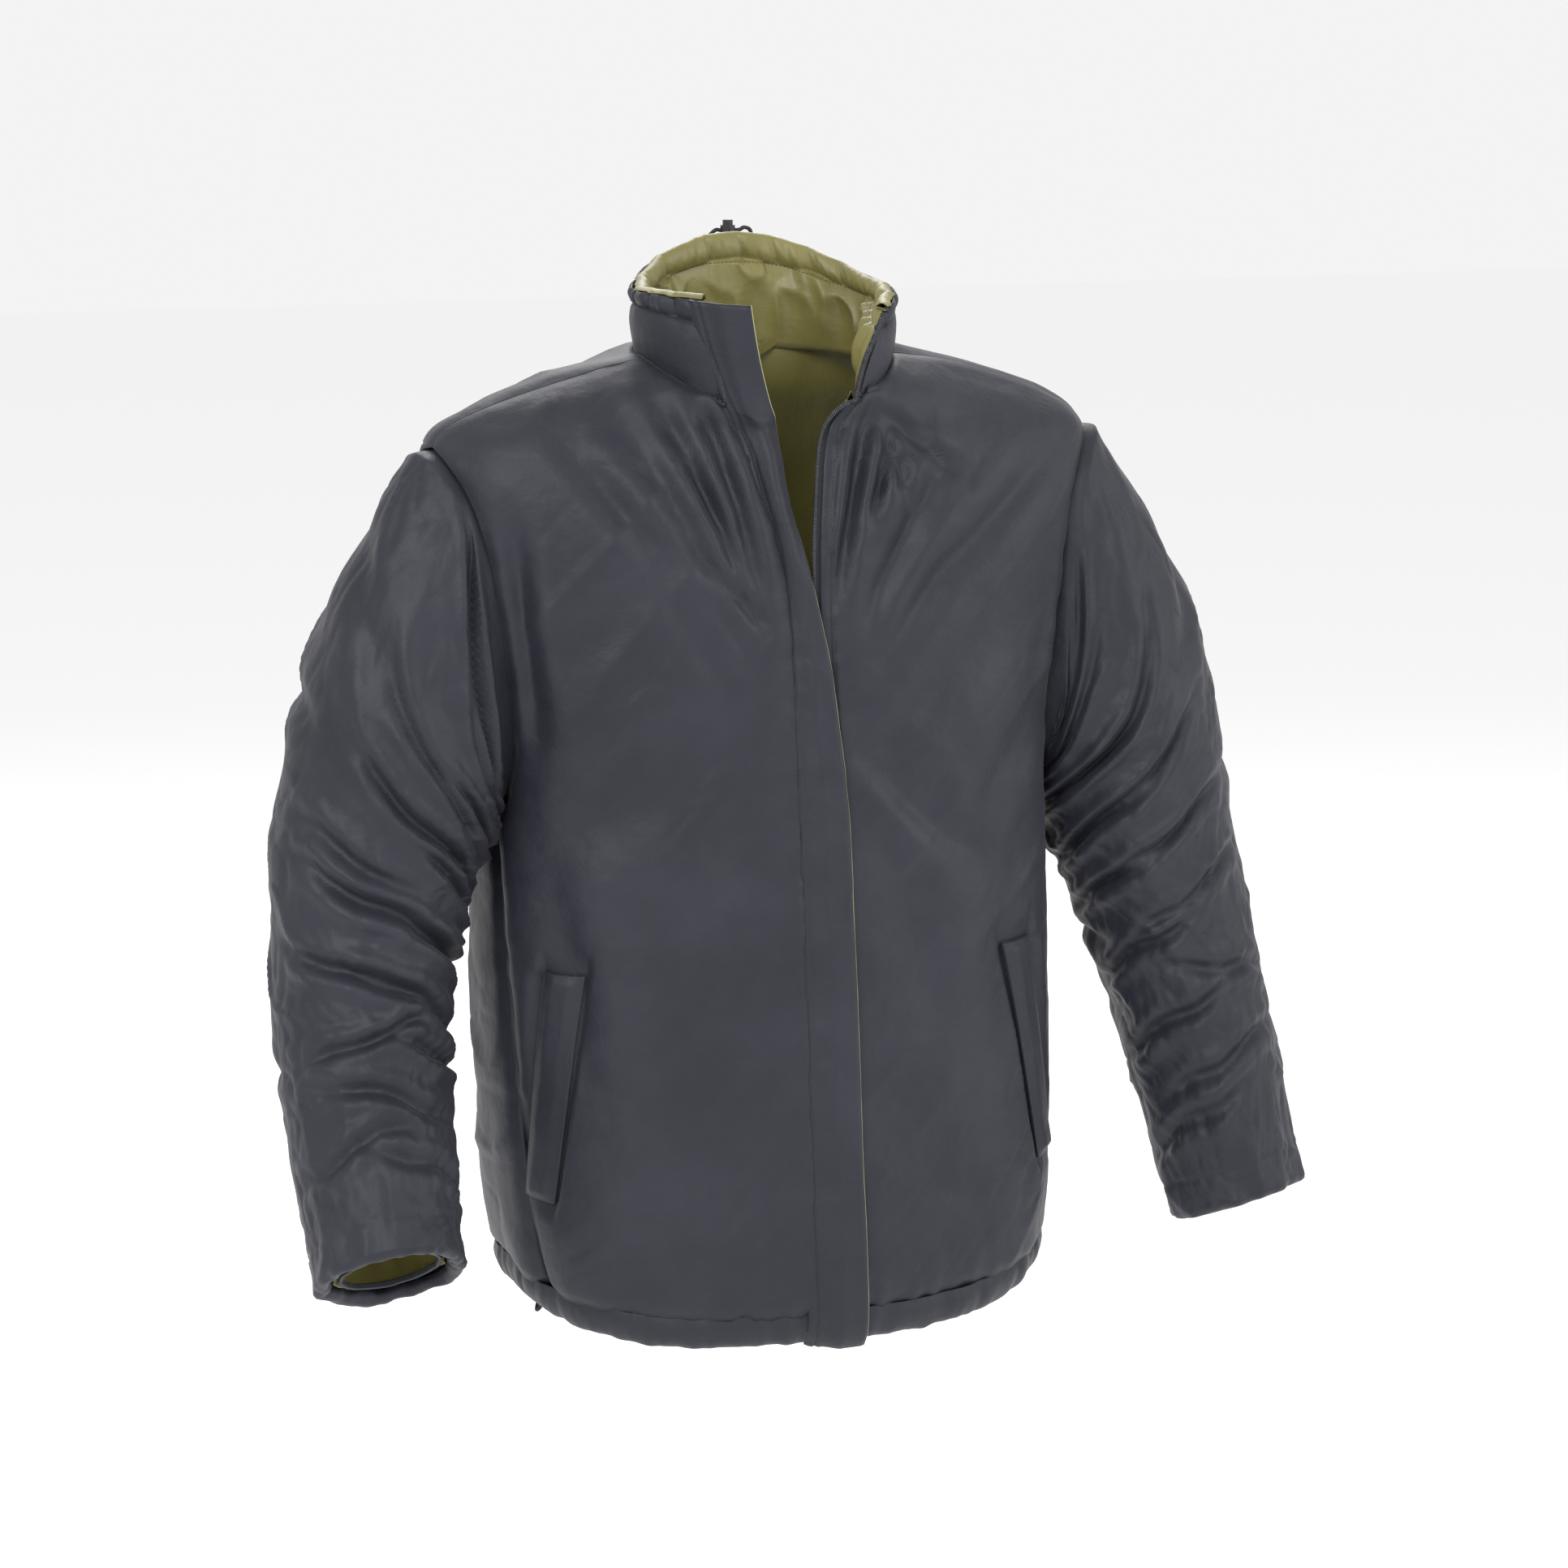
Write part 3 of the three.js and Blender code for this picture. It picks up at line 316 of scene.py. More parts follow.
def settle(piece, material, body, replaces=()):
    """Applies a piece's modifiers, gives it its material and hangs it on its body."""
    if piece.modifiers or piece.type != "MESH":
        deps = bpy.context.evaluated_depsgraph_get()
        final = bpy.data.meshes.new_from_object(piece.evaluated_get(deps))
        if piece.type == "MESH":
            piece.modifiers.clear()
            piece.data = final
        else:
            name = piece.name
            bpy.data.objects.remove(piece)
            piece = bpy.data.objects.new(name, final)
            bpy.context.scene.collection.objects.link(piece)
    piece.data.materials.clear()
    piece.data.materials.append(material)
    piece.data.shade_smooth()
    if body:
        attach(piece, body)
    if replaces:
        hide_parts(*replaces)
    return piece


def round_curve(name, points, radius, roundness):
    """A curve with a round section along points, in millimetres."""
    curve = bpy.data.curves.new(name, "CURVE")
    curve.dimensions = "3D"
    line = curve.splines.new("POLY")
    line.points.add(len(points) - 1)
    line.points.foreach_set("co", np.concatenate([points * MM, np.ones((len(points), 1))], 1).ravel())
    curve.bevel_depth = radius * MM
    curve.bevel_resolution = roundness
    curve.use_fill_caps = True
    piece = bpy.data.objects.new(name, curve)
    bpy.context.scene.collection.objects.link(piece)
    return piece


def wire(name, points, radius, material, body, replaces=(), roundness=0):
    """A thread or a cord that is sewn in, made a mesh."""
    return settle(round_curve(name, points, radius, roundness), material, body, replaces)


def stitches(name, points, normals, material, body, pitch=3.2, length=2.3, radius=0.42):
    """A row of stitches lying along points, each a short round-ended thread."""
    steps = np.linalg.norm(np.diff(points, axis=0), axis=1)
    run = np.concatenate([[0], np.cumsum(steps)])
    bm = bmesh.new()
    for start in np.arange(0.5, run[-1] - length, pitch):
        a, b = (np.array([np.interp(start + d, run, points[:, k]) for k in range(3)]) for d in (0, length))
        n = np.array([np.interp(start, run, normals[:, k]) for k in range(3)])
        made = bmesh.ops.create_uvsphere(bm, u_segments=5, v_segments=3, radius=1)["verts"]
        way = (b - a) / np.linalg.norm(b - a)
        n = n / np.linalg.norm(n)
        side = np.cross(n, way)
        middle = (a + b) / 2 + n * radius * 0.5
        for vert in made:
            x, y, z = vert.co
            place = middle + way * z * length / 2 + side * x * radius + n * y * radius
            vert.co = Vector(place * MM)
    mesh = bpy.data.meshes.new(name)
    bmesh.ops.recalc_face_normals(bm, faces=bm.faces)
    bm.to_mesh(mesh)
    bm.free()
    piece = bpy.data.objects.new(name, mesh)
    bpy.context.scene.collection.objects.link(piece)
    return settle(piece, material, body)


def lifted(surface, u, v, height):
    """Points above surface(u, v), along its normal."""
    e = 1e-3
    n = np.cross(surface(u + e, v) - surface(u - e, v), surface(u, v + e) - surface(u, v - e))
    n /= np.maximum(np.linalg.norm(n, axis=-1, keepdims=True), 1e-9)
    return surface(u, v) + n * np.asarray(height)[..., None]


def level_rows(low, high, spacing):
    """Levels from low to high, spread evenly over the body's height."""
    fine = np.linspace(low, high, 800)
    line = outer_point(np.full(800, -60.0), fine)
    run = np.concatenate([[0], np.cumsum(np.linalg.norm(np.diff(line, axis=0), axis=1))])
    return np.interp(np.linspace(0, run[-1], int(run[-1] / spacing) + 1), run, fine)


# ---- materials -----------------------------------------------------------------------------------

def principled(name, roughness, metallic=0.0, sheen=0.0, sheen_roughness=0.4, specular=0.5):
    material = bpy.data.materials.new(name)
    material.use_nodes = True
    shader = material.node_tree.nodes["Principled BSDF"]
    shader.inputs["Roughness"].default_value = roughness
    shader.inputs["Metallic"].default_value = metallic
    shader.inputs["Sheen Weight"].default_value = sheen
    shader.inputs["Sheen Roughness"].default_value = sheen_roughness
    shader.inputs["Specular IOR Level"].default_value = specular
    return material, material.node_tree.nodes, material.node_tree.links, shader


def add_noise(nodes, links, place, scale, detail=2.0, roughness=0.5):
    """Noise on the piece's own coordinates."""
    noise = nodes.new("ShaderNodeTexNoise")
    noise.inputs["Scale"].default_value = scale
    noise.inputs["Detail"].default_value = detail
    noise.inputs["Roughness"].default_value = roughness
    links.new(place.outputs["Object"], noise.inputs["Vector"])
    return noise.outputs["Fac"]


def add_tint(nodes, links, cloud, shader, dark, light, low, high):
    """A base colour that drifts from dark to light as a cloud of noise goes from low to high."""
    ramp = nodes.new("ShaderNodeValToRGB")
    for stop, position, colour in zip(ramp.color_ramp.elements, (low, high), (dark, light)):
        stop.position = position
        stop.color = (*colour, 1)
    links.new(cloud, ramp.inputs["Fac"])
    links.new(ramp.outputs["Color"], shader.inputs["Base Color"])


def add_gloss(nodes, links, cloud, shader, roughness, spread):
    """A roughness that drifts by spread to both sides."""
    gloss = nodes.new("ShaderNodeMapRange")
    gloss.inputs["To Min"].default_value = roughness - spread
    gloss.inputs["To Max"].default_value = roughness + spread
    links.new(cloud, gloss.inputs["Value"])
    links.new(gloss.outputs["Result"], shader.inputs["Roughness"])


def add_relief(nodes, links, height, strength, distance):
    relief = nodes.new("ShaderNodeBump")
    relief.inputs["Strength"].default_value = strength
    relief.inputs["Distance"].default_value = distance
    links.new(height, relief.inputs["Height"])
    return relief


def mottled(name, dark, light, roughness, scale=22, bump=0.1, grain=900, spread=0.08, **finish):
    """A finish whose colour and gloss drift a little, with a fine grain in its surface."""
    material, nodes, links, shader = principled(name, roughness, **finish)
    place = nodes.new("ShaderNodeTexCoord")
    cloud = add_noise(nodes, links, place, scale, 5)
    add_tint(nodes, links, cloud, shader, dark, light, 0.3, 0.7)
    add_gloss(nodes, links, cloud, shader, roughness, spread)
    relief = add_relief(nodes, links, add_noise(nodes, links, place, grain), bump, 0.0004)
    links.new(relief.outputs["Normal"], shader.inputs["Normal"])
    return material


WAVE_PER_THREAD = 0.314


def woven(name, dark, light, roughness, thread=0.0011, weave=0.25, crinkle=0.35, **finish):
    """Plain-woven cloth: two thread directions from the piece's own cloth map, over a faint crinkle."""
    material, nodes, links, shader = principled(name, roughness, **finish)
    place = nodes.new("ShaderNodeTexCoord")
    uv = nodes.new("ShaderNodeUVMap")
    uv.uv_map = "cloth"
    add_tint(nodes, links, add_noise(nodes, links, place, 9, 6, 0.6), shader, dark, light, 0.32, 0.68)
    both = nodes.new("ShaderNodeMath")
    both.operation = "MULTIPLY"
    for k, way in enumerate(("X", "Y")):
        bands = nodes.new("ShaderNodeTexWave")
        bands.wave_type = "BANDS"
        bands.bands_direction = way
        bands.inputs["Scale"].default_value = WAVE_PER_THREAD / thread
        links.new(uv.outputs["UV"], bands.inputs["Vector"])
        links.new(bands.outputs["Fac"], both.inputs[k])
    threads = add_relief(nodes, links, both.outputs["Value"], weave, 0.0002)
    crease = add_noise(nodes, links, place, 42, 4, 0.55)
    relief = add_relief(nodes, links, crease, crinkle, 0.0035)
    links.new(threads.outputs["Normal"], relief.inputs["Normal"])
    links.new(relief.outputs["Normal"], shader.inputs["Normal"])
    add_gloss(nodes, links, crease, shader, roughness, 0.07)
    return material


charcoal = woven("charcoal_nylon", (0.011, 0.012, 0.019), (0.021, 0.022, 0.032), 0.54,
                 crinkle=0.5, sheen=0.06, specular=0.36)
olive = woven("olive_lining", (0.140, 0.126, 0.036), (0.205, 0.184, 0.058), 0.42,
              crinkle=0.4, sheen=0.05)
piping = woven("pale_piping", (0.36, 0.38, 0.20), (0.45, 0.46, 0.26), 0.5, crinkle=0.1)
wadding = mottled("fibre_wadding", (0.62, 0.61, 0.57), (0.82, 0.81, 0.77), 0.9,
                  scale=60, bump=0.8, grain=350)
tape_weave = mottled("zip_tape_weave", (0.026, 0.028, 0.036), (0.036, 0.038, 0.048), 0.75,
                     scale=300, bump=0.5)
zip_plastic = mottled("zip_coil_plastic", (0.035, 0.035, 0.038), (0.055, 0.055, 0.060), 0.28, scale=80)
lock_plastic = mottled("lock_plastic", (0.012, 0.012, 0.013), (0.022, 0.022, 0.024), 0.42,
                       scale=120, bump=0.25)
black_metal = mottled("painted_zip_metal", (0.014, 0.014, 0.016), (0.03, 0.03, 0.034), 0.33,
                      scale=150, metallic=0.7)
cord_braid = mottled("cord_braid", (0.012, 0.012, 0.014), (0.034, 0.034, 0.038), 0.8,
                     scale=420, bump=0.9, grain=1500)
thread = mottled("sewing_thread", (0.012, 0.012, 0.014), (0.024, 0.024, 0.028), 0.6, scale=500, bump=0.5)
olive_thread = mottled("olive_thread", (0.07, 0.064, 0.02), (0.10, 0.09, 0.03), 0.6, scale=500, bump=0.5)
spring_steel = mottled("spring_steel", (0.42, 0.42, 0.42), (0.55, 0.55, 0.55), 0.28,
                       scale=200, metallic=1.0)

# ---- camera --------------------------------------------------------------------------------------

CAMERA = dict(azimuth=-20.0, elevation=11.8, distance=3.0, lens=90.1, target=(0.016, 0.0, -0.315))
turn, rise = math.radians(CAMERA["azimuth"]), math.radians(CAMERA["elevation"])
back = Vector((math.sin(turn) * math.cos(rise), -math.cos(turn) * math.cos(rise), math.sin(rise)))
camera = bpy.data.objects.new("camera", bpy.data.cameras.new("camera"))
camera.data.lens = CAMERA["lens"]
camera.data.sensor_width = 36
camera.location = Vector(CAMERA["target"]) + back * CAMERA["distance"]
camera.rotation_euler = back.to_track_quat("Z", "Y").to_euler()
bpy.context.scene.collection.objects.link(camera)
bpy.context.scene.camera = camera

# ---- cords ---------------------------------------------------------------------------------------

CORD_RADIUS = 1.5
HEM_LOOP_COLUMN, HEM_COLUMNS, HEM_EYELET, HEM_END = 27.5, 36, 0.62, 9
HEM_LOCK_INWARD, HEM_LOCK_UP, STRANDS, LINING_DEPTH = 23.5, -5.5, 2.2, 8.9
CORD_SPAN_STEPS = 6


def hem_angle(u):
    """The angle at a share of the way round the hem, from its left front end to its right one."""
    start = front_angle(np.array(float(HEM_END)), np.array(0.0))
    return start + (360 + front_angle(np.array(-float(HEM_END)), np.array(0.0)) - start) * u


def hem_frame():
    """Where the hem's cord comes out, with the ways along the hem, up its face and inward."""
    def corner(step, level):
        u = np.array((HEM_LOOP_COLUMN + step) / HEM_COLUMNS)
        return body_point(hem_angle(u), np.array(float(level)))
    bottom, top = ((corner(-0.5, level) + corner(0.5, level)) / 2 for level in (0, 1))
    way = (corner(0.5, 1) - corner(-0.5, 1)) * (1, 1, 0)
    way = way / np.linalg.norm(way)
    slope = (top - bottom) / np.linalg.norm(top - bottom)
    return bottom + (top - bottom) * HEM_EYELET, way, slope, np.cross((0, 0, 1), way)


def hem_place(step, inward, up):
    base, way, _, inner = hem_frame()
    return base + way * step + inner * inward + np.array((0, 0, up))


def hem_eyelet_point(way, depth):
    _, run, slope, _ = hem_frame()
    return hem_place(way * 2 * STRANDS, 0, 0) + np.cross(slope, run) * depth


def free_cord(name, points, node):
    """A thin braided loop through a cord lock, both ends going into the cloth at eyelets."""
    piece = round_curve(name, points, CORD_RADIUS, 3)
    piece.data.materials.append(cord_braid)
    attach(piece, "torso")
    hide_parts(node)


def hem_strand(way):
    """Half of the hem's loop: out of one eyelet, through the lock and down."""
    inward, up = HEM_LOCK_INWARD, HEM_LOCK_UP
    local = [
        (1.9 * way * STRANDS, 19, 5.4), (1.2 * way * STRANDS, inward - 0.6, 4.6),
        (way * STRANDS, inward, 0), (way * STRANDS, inward, up), (way * STRANDS, inward, up - 7),
        (way * 3.4, inward - 2, up - 14.5), (way * 3.9, inward - 5, up - 22.5),
    ]
    ends = [hem_eyelet_point(way, LINING_DEPTH - 1), hem_eyelet_point(way, LINING_DEPTH + 4)]
    return ends + [hem_place(*p) for p in local]


hem_loop_points = smoothed([
    *hem_strand(-1), hem_place(0, HEM_LOCK_INWARD - 7, HEM_LOCK_UP - 26.5), *hem_strand(1)[::-1],
], CORD_SPAN_STEPS)
free_cord("hem_cord", hem_loop_points, "hem_cord_loop")

COLLAR_CORD_LEVEL, COLLAR_END_IN, COLLAR_END_TURN = 11.86, 7, 0.12


def collar_sheet(u, level):
    """The collar's solid, from its left front end round the back to its right one."""
    start = front_angle(along(ZIP_LEFT, level) + COLLAR_END_IN, level) + COLLAR_END_TURN
    end = 360 + front_angle(along(ZIP_RIGHT, level) - COLLAR_END_IN, level) - COLLAR_END_TURN
    return collar_point(start + (end - start) * u, np.maximum(level, NECK + 1e-6))


def collar_eyelet(u, distance):
    """A point straight out from an eyelet of the collar."""
    u, level = np.array(u), np.array(COLLAR_CORD_LEVEL)
    seat = lifted(collar_sheet, u, level, np.array(-1.1))
    return seat + (lifted(collar_sheet, u, level, np.array(1.0)) - collar_sheet(u, level)) * distance


LOCK_X, LOCK_Y, LOCK_Z = 2, 87, 98
OUTER_EYELET, INNER_EYELET = 0.524, 0.5
outer_x, inner_x = collar_eyelet(OUTER_EYELET, 0)[0], collar_eyelet(INNER_EYELET, 0)[0]
collar_loop_points = smoothed([
    collar_eyelet(OUTER_EYELET, -0.9), collar_eyelet(OUTER_EYELET, 4),
    (outer_x + 0.6, LOCK_Y - 0.6, 89), (outer_x + 3, LOCK_Y, 95), (outer_x + 9, LOCK_Y, LOCK_Z + 2.4),
    (LOCK_X - 6, LOCK_Y, LOCK_Z + STRANDS), (LOCK_X, LOCK_Y, LOCK_Z + STRANDS),
    (LOCK_X + 9, LOCK_Y, LOCK_Z + 2.3), (LOCK_X + 13, LOCK_Y, LOCK_Z + 4),
    (LOCK_X + 17.6, LOCK_Y, LOCK_Z + 2.4), (LOCK_X + 18.8, LOCK_Y, LOCK_Z - 2.2),
    (LOCK_X + 15.6, LOCK_Y, LOCK_Z - 5), (LOCK_X + 11.6, LOCK_Y, LOCK_Z - 3),
    (LOCK_X + 8, LOCK_Y, LOCK_Z - 2.2), (LOCK_X, LOCK_Y, LOCK_Z - STRANDS),
    (LOCK_X - 5.5, LOCK_Y, LOCK_Z - 2.6), (inner_x - 0.4, LOCK_Y, LOCK_Z - 6),
    (inner_x, LOCK_Y - 0.6, LOCK_Z - 11), collar_eyelet(INNER_EYELET, 4), collar_eyelet(INNER_EYELET, -0.9),
], CORD_SPAN_STEPS)
free_cord("collar_cord", collar_loop_points, "collar_cord_loop")

# ---- the carried-over solids' finishes -----------------------------------------------------------

NODE_FINISH = {
    "padding": wadding, "drawcord": cord_braid, "cuff_elastic": cord_braid, "hanger": olive,
    "zip_tape": tape_weave, "zip_coil": zip_plastic, "retainer": zip_plastic, "insertion": zip_plastic,
    "lock_body": lock_plastic, "lock_button": lock_plastic, "spring": spring_steel, "stop": black_metal,
    "slider": black_metal, "pull": black_metal, "eyelet": black_metal, "pocket_bag": olive, "lining": olive,
}
for node_name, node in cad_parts.items():
    finish = next((m for key, m in NODE_FINISH.items() if key in node_name), charcoal)
    node.data.materials.clear()
    node.data.materials.append(finish)

# ---- body panels ---------------------------------------------------------------------------------

PAD, SLEEVE_PAD, COLLAR_PAD, LINING_THICKNESS = 5.2, 3.0, 2.2, 0.8
LINING_AT, ZIP_STITCH_AT = 9.4, 9
TAPE_SHOWS = {"left": 4.6, "right": 3.2}


def seam_tuck(distance, depth=4.5, reach=7.0):
    """How far a padded panel dips towards a seam this many millimetres away."""
    return -depth * np.exp(-(distance / reach) ** 2) + 1.2 * smooth(distance, 4, 40)


def seam_depth(level):
    """Seams lie shallow on the shoulder and deep under the arm and down the side."""
    return 1.0 + 3.6 * (1 - smooth(level, 4.2, 6.0))


def pucker(run, distance, seed, size=14.0, depth=1.6, reach=16.0):
    """Small gathers that cross a seam and fade away from it."""
    return depth * noise_over(seed, run / size, distance / 60, seed * 1.7) * np.exp(-distance / reach)


def edge_distance(points, axis, last):
    """Millimetres from each grid point to the first or last row or column."""
    steps = np.linalg.norm(np.diff(points, axis=axis), axis=-1)
    run = np.concatenate([np.zeros_like(np.take(steps, [0], axis)), np.cumsum(steps, axis)], axis)
    return np.take(run, [-1], axis) - run if last else run


# Listed folds: the line of each in x and z, its width and its depth.
FOLD_SCALE = 1.9
FRONT_FOLDS = {
    "right": [
        ([(-72, -8), (-60, -60), (-48, -115), (-38, -180)], 6, 5.0),
        ([(-84, -60), (-66, -105), (-48, -165)], 5, 3.0),
        ([(-106, -6), (-84, -56), (-62, -110), (-52, -150)], 7, 3.6),
        ([(-130, -20), (-104, -80), (-70, -150), (-40, -215)], 10, 3.0),
        ([(-175, -40), (-140, -85), (-100, -130)], 9, 2.2),
        ([(-150, -70), (-100, -150), (-60, -230)], 11, 2.0),
        ([(-84, -120), (-56, -152), (-38, -176)], 5, 3.0),
        ([(-214, -90), (-209, -170), (-196, -270)], 8, 4.0),
        ([(-34, -335), (-90, -420), (-135, -505)], 20, 1.8),
        ([(-34, -420), (-80, -500), (-110, -590)], 18, 1.6),
        ([(-60, -250), (-120, -300), (-185, -330)], 18, 1.6),
        ([(-50, -560), (-85, -610), (-100, -660)], 12, 1.4),
        ([(-190, -330), (-184, -430), (-176, -520)], 12, 2.6),
        ([(-130, -240), (-80, -330), (-36, -380)], 16, 1.4),
    ],
    "left": [
        ([(60, -20), (44, -60), (30, -110), (18, -160)], 5, 4.4),
        ([(72, -40), (60, -74), (48, -100)], 4, 3.4),
        ([(64, -22), (92, -46), (130, -74)], 6, 2.6),
        ([(60, -24), (76, -62), (82, -100)], 5, 2.4),
        ([(120, -60), (84, -104), (56, -150), (40, -190)], 8, 2.8),
        ([(212, -58), (160, -100), (100, -150), (44, -215)], 10, 3.2),
        ([(236, -110), (226, -190), (212, -260)], 8, 3.6),
        ([(150, -185), (90, -240), (34, -285)], 14, 2.2),
        ([(26, -235), (80, -300), (140, -375)], 12, 2.2),
        ([(26, -262), (70, -310), (110, -350)], 8, 1.8),
        ([(200, -230), (150, -300), (120, -360)], 14, 1.8),
        ([(30, -300), (70, -400), (100, -520)], 20, 1.5),
        ([(180, -300), (150, -420), (150, -540)], 18, 1.5),
        ([(34, -520), (90, -590), (150, -640)], 18, 1.4),
    ],
}


def body_relief(points, seed):
    """The soft, broad unevenness of loosely filled cloth."""
    broad = value_noise(points / (95, 95, 120), seed)
    lean = points @ np.array([[0.7, 0, 0.7], [0, 1, 0], [-0.7, 0, 0.7]])
    creased = ridged(lean / (46, 80, 170), seed + 1, 3) - 0.3
    fine = value_noise(points / (17, 17, 26), seed + 2)
    small = fine - 1.5 * ridged(lean / (14, 40, 60), seed + 3, 5)
    return 2.4 * broad + 2.4 * creased + 0.45 * small


def front_grid(side):
    """Angles and levels over one front, from its zip edge to its side seam or the other way round."""
    u, level = np.meshgrid(np.linspace(0, 1, 112), level_rows(CASING - 0.02, NECK - 0.01, 3.0))
    line, way = (ZIP_LEFT, 1) if side == "left" else (ZIP_RIGHT, -1)
    edge = front_angle(along(line, level) + way * TAPE_SHOWS[side], level)
    seam = side_angle(level, -23) if side == "left" else -180 - side_angle(level, -23)
    first, last = (edge, seam) if side == "left" else (seam, edge)
    angle = first + (last - first) * u
    return angle, level


def sewn_edge(side, level):
    """The angle of a pocket welt's sewn edge."""
    top, bottom = POCKETS[side]
    return bottom + (top - bottom) * (level - POCKET_LEVELS[0]) / (POCKET_LEVELS[1] - POCKET_LEVELS[0])


def welt_share(side, angle, level):
    """0 at a pocket welt's sewn front edge, 1 at the edge over the pocket's mouth."""
    return (angle - sewn_edge(side, level)) / WELT_WIDTH * (1 if side == "left" else -1)


def dressed_front(side):
    """One front as it lies when filled: uneven, folded, puckered at its seams, with a bed for its welt."""
    angle, level = front_grid(side)
    points, normals = body_point(angle, level), body_normal(angle, level)
    zip_run = edge_distance(points, 1, side == "right")
    seam_run = edge_distance(points, 1, side == "left")
    hem_run, neck_run = edge_distance(points, 0, False), edge_distance(points, 0, True)
    x, z = points[..., 0], points[..., 2]
    seed = 3 if side == "left" else 7
    height = body_relief(points, 3) * smooth(zip_run, 0, 40) * smooth(seam_run, 0, 30)
    folds = sum(stroke(x, z, *fold) for fold in FRONT_FOLDS[side])
    height += folds * smooth(seam_run, 0, 18) * FOLD_SCALE
    height += seam_tuck(seam_run, seam_depth(level))
    height += seam_tuck(hem_run, 4, 6) + seam_tuck(neck_run, 2.5, 4)
    height += pucker(z, seam_run, seed + 20) + pucker(x, hem_run, seed + 21, 9, 2.0, 20)
    height += pucker(x, neck_run, seed + 22, 11, 1.8, 18)
    height += -1.6 * np.exp(-((zip_run - ZIP_STITCH_AT) / 1.6) ** 2) - 1.5 * np.exp(-(zip_run / 2.5) ** 2)
    height += pucker(z, np.abs(zip_run - ZIP_STITCH_AT), seed + 23, 7, 0.9, 8)
    height *= np.where(zip_run < ZIP_STITCH_AT, 0.5, 1)
    share = welt_share(side, angle, level)
    over = smooth(np.minimum(share, 1 - share), -0.16, 0.0)
    over = over * smooth(level, 1.80, 1.95) * smooth(-level, -3.30, -3.16)
    height = height * (1 - over) - 1.2 * over
    long = smooth(level, 1.93, 2.0) * smooth(-level, -3.18, -3.12)
    sewn, mouth = np.exp(-((share + 0.05) / 0.06) ** 2), np.exp(-((share - 1.1) / 0.2) ** 2)
    height -= 2.2 * long * sewn + 5.0 * long * mouth
    return points + normals * height[..., None], normals


fronts = {}
for side in ("right", "left"):
    points, normals = dressed_front(side)
    fronts[side] = (points, normals)
    piece = cloth(f"{side}_front_padded_panel", points, charcoal, PAD, "torso",
                  replaces=(f"{side}_front_shell", f"{side}_front_padding"))

u, level = np.meshgrid(np.linspace(0, 1, 176), level_rows(CASING - 0.02, NECK - 0.01, 3.2))
seam = side_angle(level, 34)
angle = seam + (180 - 2 * seam) * u
points, normals = body_point(angle, level), body_normal(angle, level)
side_run = np.minimum(edge_distance(points, 1, False), edge_distance(points, 1, True))
height = 1.4 * body_relief(points, 3) * smooth(side_run, 0, 30)
height += seam_tuck(side_run, seam_depth(level))
height += pucker(points[..., 2], side_run, 23) * (u < 0.5)
height += pucker(points[..., 2], side_run, 27) * (u >= 0.5)
hem_run, neck_run = edge_distance(points, 0, False), edge_distance(points, 0, True)
height += seam_tuck(hem_run, 4, 6) + pucker(points[..., 0], hem_run, 24, 9, 2.0, 20)
height += seam_tuck(neck_run, 2.5, 4) + pucker(points[..., 0], neck_run, 25, 11, 1.8, 18)
BACK_FOLDS = [
    ([(-60, -4), (-40, -70), (-10, -110)], 8, 2.6), ([(50, -4), (60, -60), (84, -100)], 8, 2.4),
    ([(-214, -90), (-170, -160), (-110, -210)], 10, 3.2), ([(214, -90), (176, -150), (120, -210)], 10, 3.2),
    ([(-200, -230), (-150, -290), (-80, -320)], 11, 2.8), ([(200, -240), (140, -300), (60, -320)], 11, 2.8),
    ([(-204, -290), (-120, -370), (-60, -400)], 13, 2.4), ([(204, -300), (130, -390), (80, -410)], 13, 2.4),
    ([(-170, -420), (-90, -500), (-60, -620)], 16, 2.2), ([(160, -400), (90, -500), (70, -640)], 16, 2.2),
    ([(-90, -560), (0, -600), (90, -580)], 18, 1.6), ([(-60, -420), (20, -450), (70, -500)], 16, 1.6),
]
folds = sum(stroke(points[..., 0], points[..., 2], *fold) for fold in BACK_FOLDS)
height += folds * smooth(side_run, 0, 18) * FOLD_SCALE
piece = cloth("back_padded_panel", points + normals * height[..., None], charcoal, PAD, "torso",
              replaces=("back_shell", "back_padding"))

# ---- body lining ---------------------------------------------------------------------------------

u, level = np.meshgrid(np.linspace(0, 1, 190), level_rows(CASING, NECK, 7.0))


def lining_surface(share, rows):
    """The body's outside from the left front edge round the back to the right one."""
    start = front_angle(along(ZIP_LEFT, rows) + 8, rows)
    end = 360 + front_angle(along(ZIP_RIGHT, rows) - 8, rows)
    return body_point(start + (end - start) * share, rows)


points = lifted(lining_surface, u, level, -LINING_AT + 0 * u)
height = 1.4 * value_noise(points / (60, 60, 90), 41) + 1.8 * (ridged(points / (40, 60, 160), 42, 3) - 0.4)
rim = np.minimum(edge_distance(points, 1, False), edge_distance(points, 1, True))
height = np.minimum(height, 0.4) + 5.0 * (1 - smooth(rim, 0, 9))
piece = cloth("body_lining", points + grid_normals(points) * height[..., None], olive, LINING_THICKNESS,
              "torso", replaces=("back_lining", "right_front_lining", "left_front_lining"))

# ---- sleeves -------------------------------------------------------------------------------------

